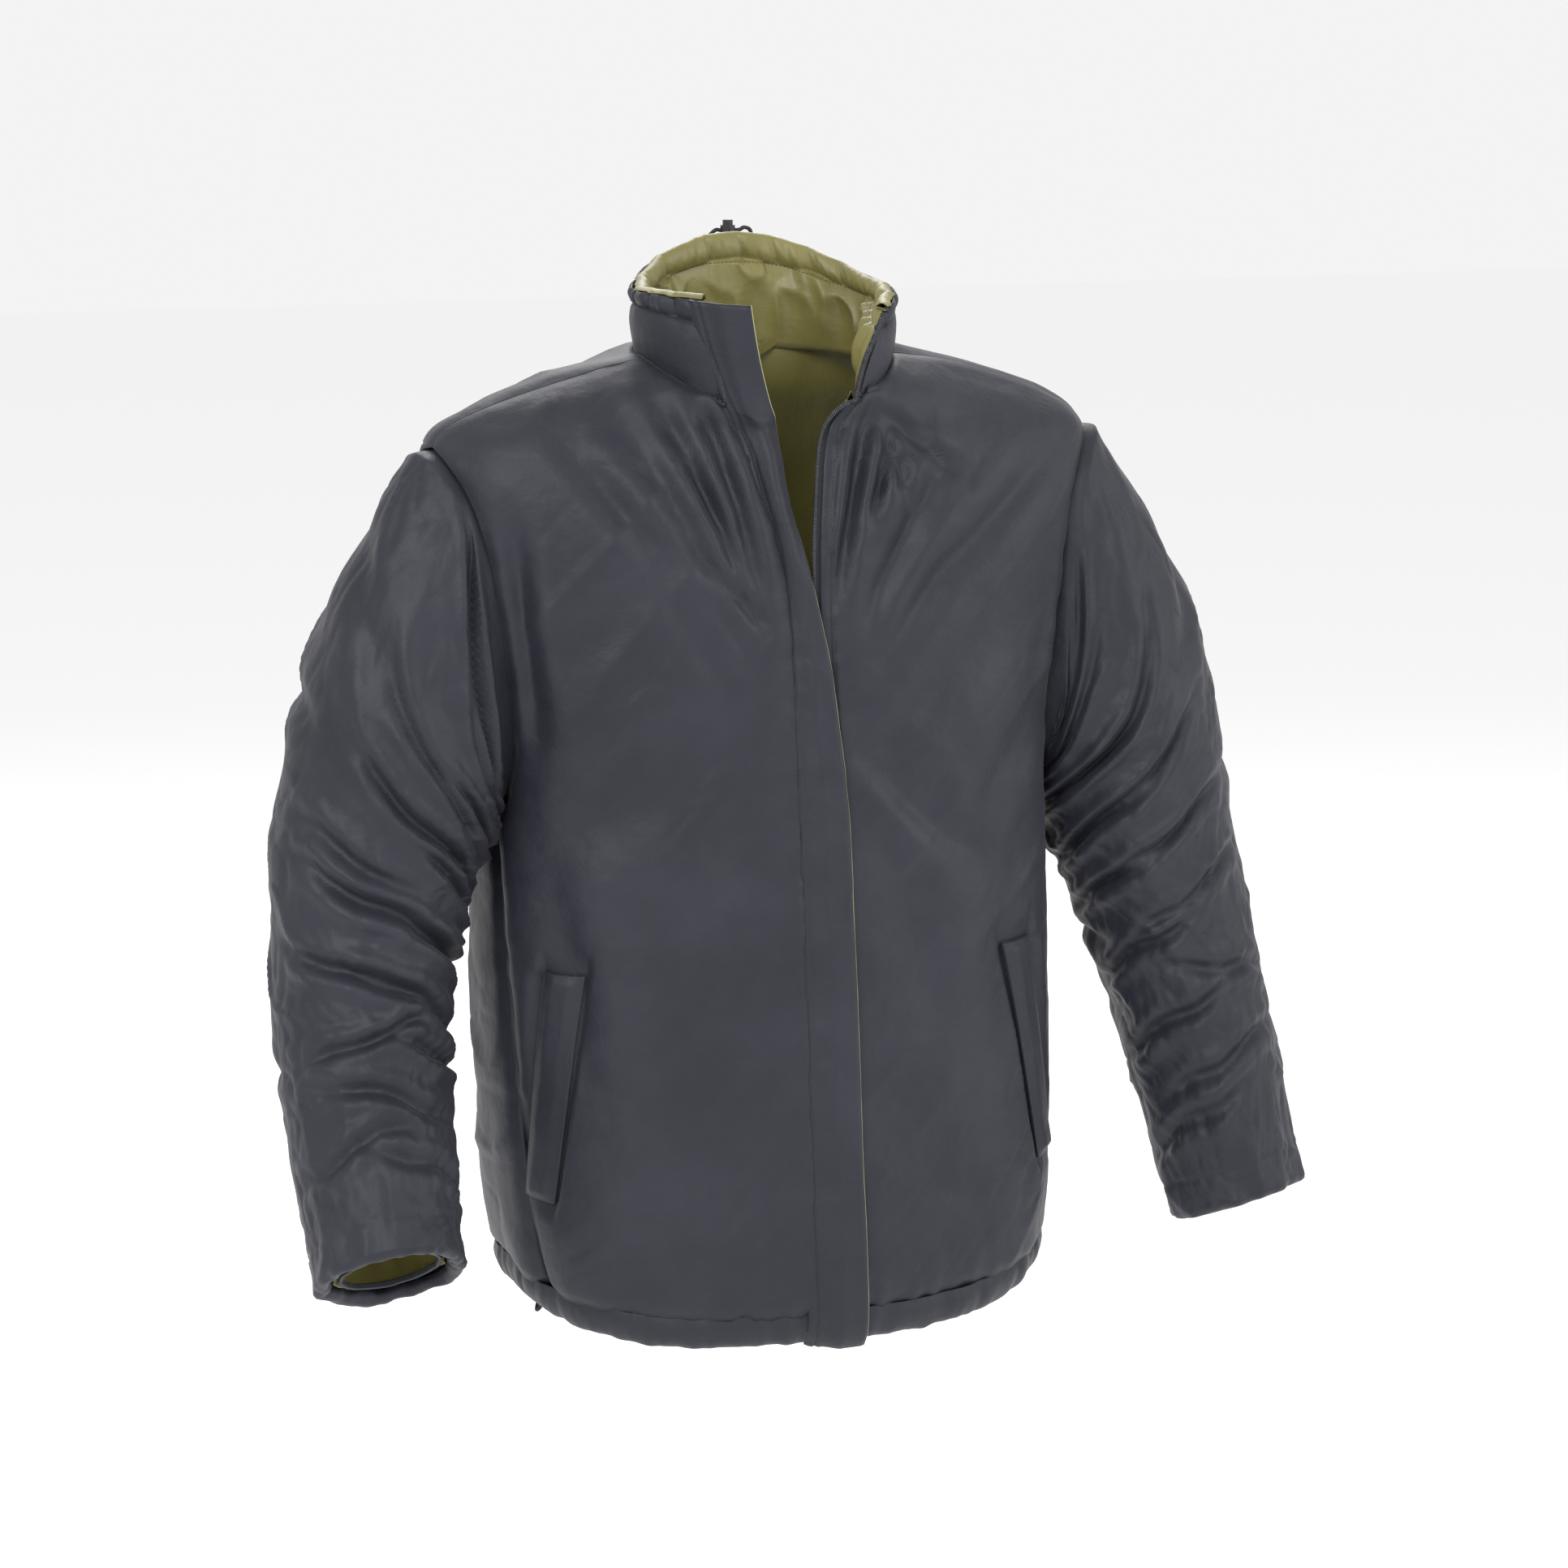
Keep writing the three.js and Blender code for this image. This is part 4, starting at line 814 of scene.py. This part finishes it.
# Folds: place along the sleeve, degrees round it (0 outside, 90 front, 180 inside), half its spread in
# degrees, slope, width in places, depth.
SLEEVE_FOLDS = {
    "right": [
        (0.75, 80, 45, 1.7, 0.11, 4), (1.15, 110, 42, 1.6, 0.12, 6.5), (1.55, 130, 42, 1.4, 0.11, 6),
        (1.85, 90, 35, 1.5, 0.10, 5), (2.15, 140, 42, 1.1, 0.10, 6), (2.5, 105, 50, 1.0, 0.11, 7),
        (2.85, 60, 40, 0.7, 0.10, 4), (2.95, 140, 45, 0.9, 0.09, 7), (3.3, 95, 60, 0.7, 0.11, 8.5),
        (3.6, 150, 45, 0.5, 0.09, 6), (3.75, 60, 40, 0.5, 0.09, 4.5), (4.0, 115, 55, 0.6, 0.10, 7),
        (4.35, 80, 45, -0.5, 0.08, 4), (4.5, 150, 50, 0.3, 0.08, 5), (4.85, 100, 55, 0.4, 0.09, 4.5),
        (5.2, 60, 45, -0.4, 0.08, 3.5), (5.35, 130, 55, 0.3, 0.08, 4), (1.3, 20, 45, 0.8, 0.16, 3),
        (1.8, 320, 60, 0.4, 0.14, 4), (2.7, 270, 70, 0.5, 0.12, 5), (3.5, 240, 70, -0.4, 0.11, 5),
        (4.3, 290, 70, 0.3, 0.10, 4), (5.1, 250, 70, -0.3, 0.09, 3.5),
    ],
    "left": [
        (0.6, 95, 45, 1.5, 0.11, 5), (1.0, 120, 42, 1.4, 0.11, 6), (1.4, 140, 42, 1.2, 0.11, 6.5),
        (1.75, 110, 40, 1.2, 0.10, 5.5), (2.05, 150, 45, 0.9, 0.10, 6.5), (2.35, 105, 45, 0.9, 0.10, 6),
        (2.7, 145, 50, 0.8, 0.10, 7), (3.0, 100, 45, 0.7, 0.09, 6), (3.3, 150, 45, 0.5, 0.09, 6),
        (3.6, 90, 50, 0.6, 0.09, 4.5), (3.95, 140, 50, 0.5, 0.09, 5.5), (4.3, 80, 45, -0.4, 0.09, 4),
        (4.6, 130, 55, 0.4, 0.09, 5), (5.0, 95, 55, 0.4, 0.08, 4), (5.35, 140, 55, 0.3, 0.08, 4),
        (1.5, 30, 45, 0.8, 0.16, 3), (2.5, 350, 50, 0.6, 0.14, 3.5), (1.8, 300, 60, 0.4, 0.14, 4),
        (2.8, 260, 70, 0.5, 0.12, 5), (3.6, 240, 70, -0.4, 0.11, 5), (4.5, 280, 70, 0.3, 0.10, 4),
    ],
}


def sleeve_folds(side, turn, place):
    """The height that a sleeve's folds add: a valley with a lip on both sides of it."""
    height = np.zeros_like(turn)
    degrees = np.degrees(turn)
    for at, centre, spread, slope, width, depth in SLEEVE_FOLDS[side]:
        off = (degrees - centre + 180) % 360 - 180
        window = np.exp(-(off / spread) ** 4)
        middle = at + slope * np.radians(off) * 0.45 + 0.03 * np.sin(off / 11 + at * 9)
        q = (place - middle) / (0.62 * width)
        height += 1.25 * depth * window * (-np.exp(-q * q) + 0.5 * np.exp(-((np.abs(q) - 2.3) / 1.3) ** 2))
    return height


# How the cuff rolls in over its elastic: place and depth, row by row.
CUFF_ROLL = [(6.00, 0.0), (6.035, -2.0), (6.05, -5.0), (6.04, -8.5), (6.0, -11.0), (5.95, -12.5)]


def dressed_sleeve(side):
    """One sleeve as it hangs when filled, from under the armhole's seam to the inside of the cuff."""
    turns = np.linspace(0, 2 * np.pi, 169)
    places = np.concatenate([np.linspace(0, 2.1, 70, endpoint=False), np.linspace(2.1, 6, 160)])
    turn, place = np.meshgrid(turns, places)
    points = sleeve_point(side, turn, place)
    level = ARMPIT + (SHOULDER - ARMPIT) * (1 + np.cos(turn)) / 2
    bulge = np.where(np.sin(turn) >= 0, -23, 34)
    start = edge_distance(points, 0, False)
    end = edge_distance(points, 0, True)
    share = smooth(start, 0, 34)[..., None]
    normals = body_normal(side_angle(level, bulge), level) * (1 - share)
    normals += grid_normals(points, True) * share
    normals /= np.linalg.norm(normals, axis=-1, keepdims=True)
    seed = 50 if side == "left" else 60
    ring = np.stack([np.cos(turn) * 1.6, np.sin(turn) * 1.6, place], -1)
    wavy = ring + 0.25 * value_noise(ring * 1.3, seed)[..., None] * (0, 0, 1)
    inner = np.abs((turn - np.pi / 2 + np.pi) % (2 * np.pi) - np.pi)
    slant = wavy[..., 2] - 0.55 * (np.pi / 2 - inner)
    slanted = np.stack([wavy[..., 0] * 0.7, wavy[..., 1] * 0.7, slant * 2.0], -1)
    creased = ridged(slanted, seed + 1, 3) - 0.35
    height = 3.0 * creased * smooth(place, 0.3, 2) + 2.2 * value_noise(ring * (1.2, 1.2, 1.4), seed + 2)
    height += 0.7 * value_noise(ring * (6, 6, 8), seed + 3)
    height += sleeve_folds(side, turn, place)
    height *= smooth(start, 0, 26)
    height -= seam_depth(level) * np.exp(-(start / 7) ** 2) + 3.5 * np.exp(-(start / 2.2) ** 2)
    crown = np.clip(np.cos(turn), 0, 1) ** 1.5 * smooth(start, 0, 9)
    height += 9.0 * crown * np.exp(-((place - 0.25) / 0.5) ** 2)
    fine = ridged(np.stack([ring[..., 0] * 3, ring[..., 1] * 3, slant * 7], -1), seed + 8, 4)
    height -= 1.3 * fine * smooth(start, 0, 30) * smooth(end, 0, 20)
    height += 1.5 * smooth(start, 6, 40)
    height += pucker(inner * 90, start, seed + 4, 13, 1.6, 20) * smooth(start, 0, 8)
    height = np.where(height < -4, -4 - 4.5 * np.tanh((-4 - height) / 4.5), height)
    gather = noise_over(seed + 5, np.cos(turn) * 5, np.sin(turn) * 5, place * 0.8)
    height += 2.6 * gather * np.exp(-end / 26) - 0.9 * np.exp(-((end - 24) / 2.0) ** 2)
    shown = points + normals * height[..., None]
    roll_place, roll_depth = np.array(CUFF_ROLL[1:]).T
    turn, place = np.meshgrid(turns, roll_place)
    last = shown[-1][None]
    axis = sleeve_point(side, turn[:1], np.full((1, turn.shape[1]), 6.0)).mean(axis=1, keepdims=True)
    inward = (axis - last) / np.linalg.norm(axis - last, axis=-1, keepdims=True)
    before = shown[-6][None]
    down = (last - before) / np.linalg.norm(last - before, axis=-1, keepdims=True)
    ripple = noise_over(seed + 6, np.cos(turn) * 7, np.sin(turn) * 7, place * 20)
    rolled = last - inward * (roll_depth[:, None, None]) + down * ((roll_place - 6)[:, None, None] * 90)
    rolled = rolled + inward * ripple[..., None] * 1.5
    shown = np.concatenate([shown, rolled])
    return mirrored(shown) if side == "right" else shown


def mirrored(points):
    """A grid for the left side, turned into the one for the right side, still facing out."""
    return (points * (-1, 1, 1))[:, ::-1]


def sleeve_inner(side, places, depth, size, seed):
    """A tube inside a sleeve, this deep under its outside and with waves of this size."""
    turn, place = np.meshgrid(np.linspace(0, 2 * np.pi, 97), places)
    points = sleeve_point(side, turn, place)
    normals = grid_normals(points, True)
    wave = noise_over(seed, np.cos(turn) * 5, np.sin(turn) * 5, place * 1.5)
    height = -depth + size * (wave - 1) - 3.5 * smooth(-place, -5.6, -5.0)
    points = points + normals * height[..., None]
    return mirrored(points) if side == "right" else points


for side, way in (("right", -1), ("left", 1)):
    outer = cloth(f"{side}_sleeve_padded", dressed_sleeve(side), charcoal, SLEEVE_PAD, None,
                  wrap=True,
                  replaces=(f"{side}_sleeve_shell", f"{side}_sleeve_padding"))
    tube = sleeve_inner(side, np.linspace(0.25, 5.95, 110), 9.5, 3.4, 71)
    inner = cloth(f"{side}_sleeve_lining_cloth", tube, olive, 0.6, None, wrap=True,
                  replaces=(f"{side}_sleeve_lining",))
    tube = sleeve_inner(side, np.linspace(5.93, 5.99, 6), 15.5, 1.2, 72)
    band = cloth(f"{side}_cuff_band", tube, tape_weave, 2.4, None, wrap=True,
                 replaces=(f"{side}_cuff_elastic",))
    for piece in (outer, inner, band):
        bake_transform(piece)

# ---- collar --------------------------------------------------------------------------------------

# The collar's section, outer and inner cloth: level and height over the solid's outside. The dip is the
# row of stitches under the cord channel.
COLLAR_OUT = [
    (11.0, -1.5), (11.03, 0), (11.12, 1.5), (11.3, 2.5), (11.5, 2.8), (11.66, 1.5), (11.725, -0.6),
    (11.74, -1.2), (11.755, -0.6), (11.80, 1.6), (11.87, 2.6), (11.94, 2.2), (11.99, 0.4),
]
COLLAR_IN = [
    (12.0, -0.6), (12.035, -3.4), (12.05, -6.2), (12.03, -9.0), (11.98, -11.2), (11.9, -12.6),
    (11.83, -12.2), (11.765, -10), (11.74, -9.2), (11.71, -10), (11.62, -11.6), (11.45, -12),
    (11.25, -11.4), (11.0, -9.6),
]
COLLAR_STITCH_LEVEL, COLLAR_STEPS, COLLAR_RUN = 11.74, 4, 520


def collar_visual(share, level):
    """The collar from its left front edge round the back to its right front edge, close to the zip."""
    flat = np.minimum(level, TOP)
    start = front_angle(along(ZIP_LEFT, flat) + TAPE_SHOWS["left"], flat)
    end = 360 + front_angle(along(ZIP_RIGHT, flat) - TAPE_SHOWS["right"], flat)
    return collar_point(start + (end - start) * share, np.maximum(level, NECK + 1e-6))


# Where the inner cloth bunches up, by millimetres from the left front edge.
COLLAR_BUNCHES = (17, 33, 49, 70, 96)


def collar_wall(profile, inside):
    """One cloth of the collar, gathered along its cord channel, with its ways out."""
    rows, depths = smoothed(profile, COLLAR_STEPS).T
    u, level = np.meshgrid(np.linspace(0, 1, 420), rows)
    depth = np.repeat(depths[:, None], u.shape[1], 1)
    run = u * COLLAR_RUN
    channel = smooth(level, 11.72, 11.78)
    lobes = np.abs(np.sin(run / 42 * np.pi + 1.5 * noise_over(81, run / 70))) ** 0.45
    gather = noise_over(82, run / 9, level * 3)
    small = noise_over(83, run / 4.5, level * 8)
    puff = channel * (4.2 * lobes - 3.2 + 1.1 * gather + 0.5 * small)
    below = (1 - channel) * smooth(level, 11.0, 11.2)
    drop = np.exp(-np.abs(level - 11.73) / 0.16)
    if inside:
        bunch = smooth(-u, -0.24, -0.06)
        tall = noise_over(84, run / (17 - 6 * bunch), level * 1.2, 4)
        long = ridged(np.stack([run / 30, level * 1.6, 0 * run], -1), 85, 2)
        fold = (7.0 + 3.0 * bunch) * tall * (0.45 + 0.55 * drop) + 5.0 * (long - 0.5)
        for start in COLLAR_BUNCHES:
            fold += 8.0 * np.exp(-((run - start - 22 * (11.6 - level)) / 5.0) ** 2)
        depth = depth - puff * 0.9 - np.maximum(fold + 2.0, -0.6) * below
        rim = smooth(np.minimum(run, COLLAR_RUN - run), 0, 9) * 0.85 + 0.15
        depth = depth * np.where(level < 11.97, rim, 1)
    else:
        tall = noise_over(86, run / 13, level * 1.5)
        broad = noise_over(87, run / 50, level * 2)
        depth = depth + puff + below * (1.6 * tall * drop + 1.2 * broad)
    points = lifted(collar_visual, u, level, depth)
    out = lifted(collar_visual, u, level, depth + 1) - points
    sink = 1 - smooth(level, NECK, NECK + (0.2 if inside else 0.07))
    points = points - np.array((0, 0, 14.0 if inside else 7.0)) * sink[..., None]
    return points, out


points, normals = collar_wall(COLLAR_OUT, False)
piece = cloth("collar_outer_cloth", points, charcoal, COLLAR_PAD, "torso",
              replaces=("collar_shell", "collar_padding"))
stitch_row = int(np.argmin(np.abs(smoothed(COLLAR_OUT, COLLAR_STEPS)[:, 0] - COLLAR_STITCH_LEVEL)))
stitches("collar_channel_stitching", points[stitch_row, 4:-4], normals[stitch_row, 4:-4], thread, "torso")
points, normals = collar_wall(COLLAR_IN, True)
inner_levels = smoothed(COLLAR_IN, COLLAR_STEPS)[:, 0]
seam_row = int(np.argmin(np.abs(inner_levels[24:] - COLLAR_STITCH_LEVEL))) + 24
stitches("collar_lining_stitching", points[seam_row, 8:-8], -normals[seam_row, 8:-8], olive_thread, "torso")
piece = cloth("collar_inner_cloth", points, olive, LINING_THICKNESS, "torso",
              replaces=("collar_lining",))

# ---- hem casing ----------------------------------------------------------------------------------

# The casing's section: level and height over the solid's outside, down the face and up behind it.
HEM_PROFILE = [
    (1.03, -1.5), (0.98, -0.4), (0.85, 1.6), (0.6, 2.6), (0.35, 2.6), (0.12, 1.2), (0.0, -1.6),
    (-0.03, -4.5), (0.0, -7.4), (0.12, -9.8), (0.5, -10.6), (0.85, -10), (1.0, -8.6),
]
HEM_HALF_GAP, HEM_HEIGHT, HEM_RUN = 4.0, 25, 1120


def hem_surface(share, level):
    """The casing's outside round the hem. Levels below 0 go straight down."""
    start = front_angle(np.full(np.shape(level), HEM_HALF_GAP), 0 * level)
    end = 360 + front_angle(np.full(np.shape(level), -HEM_HALF_GAP), 0 * level)
    angle = start + (end - start) * share
    low = body_point(angle, np.maximum(level, 0))
    return low + np.stack([0 * level, 0 * level, HEM_HEIGHT * np.minimum(level, 0)], -1)


rows, depths = smoothed(HEM_PROFILE, 3).T
u, level = np.meshgrid(np.linspace(0, 1, 760), rows)
run = u * HEM_RUN
gather = noise_over(91, run / 10, level * 1.2)
fine = noise_over(92, run / 5, level * 2)
broad = noise_over(93, run / 60)
outside = np.repeat(smooth(depths, -6, -2)[:, None], u.shape[1], 1)
depth = depths[:, None] + (1.3 * gather + 0.5 * fine + 1.0 * broad) * (2 * outside - 1)
points = lifted(hem_surface, u, level, depth)[:, ::-1]
points = points - np.array((0, 0, 1)) * (1.5 * broad[:, ::-1])[..., None]
piece = cloth("hem_casing_cloth", points, charcoal, 1.0, "torso",
              replaces=("hem_casing",))

# ---- pocket welts --------------------------------------------------------------------------------


def welt_surface(side):
    """The outside under a pocket's welt, by share of the welt's width and level."""
    def surface(share, level):
        span = share if side == "left" else share - 1
        return body_point(sewn_edge(side, level) + WELT_WIDTH * span, level)
    return surface


for side in ("right", "left"):
    u, level = np.meshgrid(np.linspace(0, 1, 30), np.linspace(*POCKET_LEVELS, 90))
    crown = smooth(np.minimum(u, 1 - u), 0, 0.35)
    ends = smooth(np.minimum(level - POCKET_LEVELS[0], POCKET_LEVELS[1] - level), 0, 0.06)
    free = u if side == "left" else 1 - u
    sag = noise_over(95, level * 5, u * 1.5) * 1.6
    sewn = np.exp(-((1 - free) * 36 / 2.0) ** 2)
    height = 0.6 + (3.4 + sag) * crown * (0.35 + 0.65 * ends) + 1.6 * smooth(-free, -0.3, 0.0) - 1.2 * sewn
    points = lifted(welt_surface(side), u, level, height)
    piece = cloth(f"{side}_pocket_welt_cloth", points, charcoal, 2.4, "torso",
                  replaces=(f"pocket_welt_{side}",))

# ---- storm flap ----------------------------------------------------------------------------------

FLAP_ROWS = level_rows(0.02, 11.98, 3.2)
FLAP_STITCHES_AT, FLAP_NECK_ROUNDS = (0.5, 7.5), 180


def flap_surface(share, level):
    """The outside under the flap, by share of the way from its seam to its free edge."""
    seam, edge = along(FLAP_SEAM, level), along(FLAP_EDGE, level)
    x = seam + (edge - seam) * share
    return outer_point(front_angle(x, level), level)


u, level = np.meshgrid(np.linspace(0, 1, 44), FLAP_ROWS)
base = flap_surface(u, level)
wide = np.linalg.norm(base[:, -1] - base[:, 0], axis=-1)[:, None] * u
curl = smooth(level, 5.35, 6.2) * smooth(-level, -10.9, -9.4)
wave = noise_over(97, base[..., 2] / 42, u * 1.4)
short = noise_over(98, base[..., 2] / 14, u * 2.5)
height = 2.8 + 2.6 * smooth(wide, 1, 9)
height -= 1.8 * np.exp(-((wide - FLAP_STITCHES_AT[1]) / 1.3) ** 2) + 2.0 * np.exp(-(wide / 1.6) ** 2)
height += 5.2 * smooth(u, 0.25, 0.6) + 1.6 * wave + 0.7 * short - 0.9 * smooth(u, 0.94, 1)
height += pucker(base[..., 2], wide, 99, 9, 1.2, 14)
height -= 7.0 * curl * smooth(u, 0.5, 1) ** 2
flap_points = lifted(flap_surface, u, level, height)
near_neck = np.exp(-((FLAP_ROWS - NECK + 0.1) / 0.85) ** 2)[1:-1, None, None]
for _ in range(FLAP_NECK_ROUNDS):
    middle = (flap_points[:-2] + flap_points[2:]) / 2
    flap_points[1:-1] += (middle - flap_points[1:-1]) * near_neck
flap_normals = grid_normals(flap_points)
flap = cloth("storm_flap_cloth", flap_points, charcoal, 2.0, None,
             replaces=("storm_flap_lower", "storm_flap_upper"))
edge_line = flap_points[:, -1] - flap_normals[:, -1] * 1.0
binding = wire("flap_edge_piping", edge_line, 0.85, piping, None, roundness=1)
rows_of_stitches = []
for k, run_at in enumerate(FLAP_STITCHES_AT):
    near = np.argmin(np.abs(wide - run_at), axis=1)
    line = flap_points[np.arange(len(near)), near]
    rows_of_stitches.append(stitches(f"flap_seam_stitching_{k + 1}", line, flap_normals[:, 4], thread, None))
for piece in (flap, binding, *rows_of_stitches):
    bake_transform(piece)

# ---- zip teeth and seams -------------------------------------------------------------------------

ZIP_BOTTOM_Y, ZIP_BOTTOM_Z, ZIP_SLOPE = -161.4, -686, 0.115
ZIP_CLOSED_TO, ZIP_TOP = -160, 11.94
COIL_PITCH, COIL_SIZE, COIL_WIRE, COIL_X, COIL_LIFT = 1.6, 1.45, 0.5, 1.6, 1.7
TAPE_BOTTOM, TAPE_SPAN, TAPE_LIFT, TAPE_THICKNESS = 0.12, (-0.6, 7.2), -0.45, 0.5


def zip_line(side):
    """The middle of one coil: closed and straight up to the slider, then open along its front's edge."""
    line, x = (ZIP_LEFT, COIL_X) if side == "left" else (ZIP_RIGHT, -COIL_X)
    z = np.linspace(ZIP_BOTTOM_Z, ZIP_CLOSED_TO, 40)
    closed = np.stack([0 * z + x, ZIP_BOTTOM_Y + 0.5 + ZIP_SLOPE * (z - ZIP_BOTTOM_Z), z], -1)
    rows = level_rows(5.5, ZIP_TOP, 4)
    up = lifted(front_surface(line), 0 * rows, rows, COIL_LIFT + 0 * rows)
    return np.concatenate([closed, up])


def helix(path, pitch, size, per_turn=8):
    """A coil wound round a path, a little wider than it is deep."""
    run = np.concatenate([[0], np.cumsum(np.linalg.norm(np.diff(path, axis=0), axis=1))])
    at = np.arange(0, run[-1], pitch / per_turn)
    middle = np.stack([np.interp(at, run, path[:, k]) for k in range(3)], -1)
    way = np.gradient(middle, axis=0)
    way /= np.linalg.norm(way, axis=-1, keepdims=True)
    side = np.cross(way, (0, 1, 0))
    side /= np.linalg.norm(side, axis=-1, keepdims=True)
    out = np.cross(side, way)
    angle = (2 * np.pi * at / pitch)[:, None]
    return middle + size * 1.15 * np.cos(angle) * side + size * np.sin(angle) * out


def zip_tape(side):
    """The woven tape, from under the middle of its coil to under the edge of the front."""
    across = np.linspace(*TAPE_SPAN, 7)
    line, across = (ZIP_LEFT, across) if side == "left" else (ZIP_RIGHT, -across[::-1])
    x, level = np.meshgrid(across, level_rows(TAPE_BOTTOM, ZIP_TOP, 4))
    return lifted(front_surface(line), x, level, TAPE_LIFT + 0 * x)


for side in ("right", "left"):
    wire(f"{side}_zip_teeth", helix(zip_line(side), COIL_PITCH, COIL_SIZE), COIL_WIRE, zip_plastic, "torso",
         replaces=(f"zip_coil_{side}",))
    wire(f"{side}_zip_filler_cord", zip_line(side), 1.25, tape_weave, "torso", roundness=1)
    cloth(f"{side}_zip_woven_tape", zip_tape(side), tape_weave, TAPE_THICKNESS, "torso",
          replaces=(f"zip_tape_{side}",))

points, normals = fronts["left"]
near = np.argmin(np.abs(edge_distance(points, 1, False) - ZIP_STITCH_AT), axis=1)
pick = np.arange(len(near))
stitches("left_zip_stitching", points[pick, near], normals[pick, near], thread, "torso")

# ---- floor and light -----------------------------------------------------------------------------

FLOOR_Z, FLOOR_HALF = -1.15, 14
bm = bmesh.new()
bmesh.ops.create_grid(bm, x_segments=1, y_segments=1, size=FLOOR_HALF)
bmesh.ops.translate(bm, verts=bm.verts, vec=(0, 0, FLOOR_Z))
floor_mesh = bpy.data.meshes.new("floor")
bm.to_mesh(floor_mesh)
bm.free()
floor = bpy.data.objects.new("floor", floor_mesh)
bpy.context.scene.collection.objects.link(floor)
pale, _, _, _ = principled("pale_floor", 1.0, specular=0.0)
pale.node_tree.nodes["Principled BSDF"].inputs["Base Color"].default_value = (0.98, 0.98, 0.98, 1)
floor_mesh.materials.append(pale)

world = bpy.data.worlds.new("studio")
world.use_nodes = True
world.node_tree.nodes["Background"].inputs["Color"].default_value = (1, 1, 1, 1)
world.node_tree.nodes["Background"].inputs["Strength"].default_value = 0.9
bpy.context.scene.world = world
bpy.context.scene.view_settings.view_transform = "Standard"


def softbox(name, place, aim, size, power):
    """A soft rectangular lamp, turned to what it lights."""
    lamp = bpy.data.lights.new(name, "AREA")
    lamp.shape = "RECTANGLE"
    lamp.size, lamp.size_y = size
    lamp.energy = power
    box = bpy.data.objects.new(name, lamp)
    box.location = place
    box.rotation_euler = (Vector(place) - Vector(aim)).to_track_quat("Z", "Y").to_euler()
    bpy.context.scene.collection.objects.link(box)


softbox("key_softbox", (-1.9, -2.2, 1.9), (0, 0, -0.3), (1.6, 1.6), 70)
softbox("fill_softbox", (2.4, -1.8, 0.9), (0, 0, -0.35), (1.8, 1.8), 32)
softbox("rim_softbox", (0.6, 2.2, 1.8), (0, 0, -0.2), (1.6, 1.2), 45)
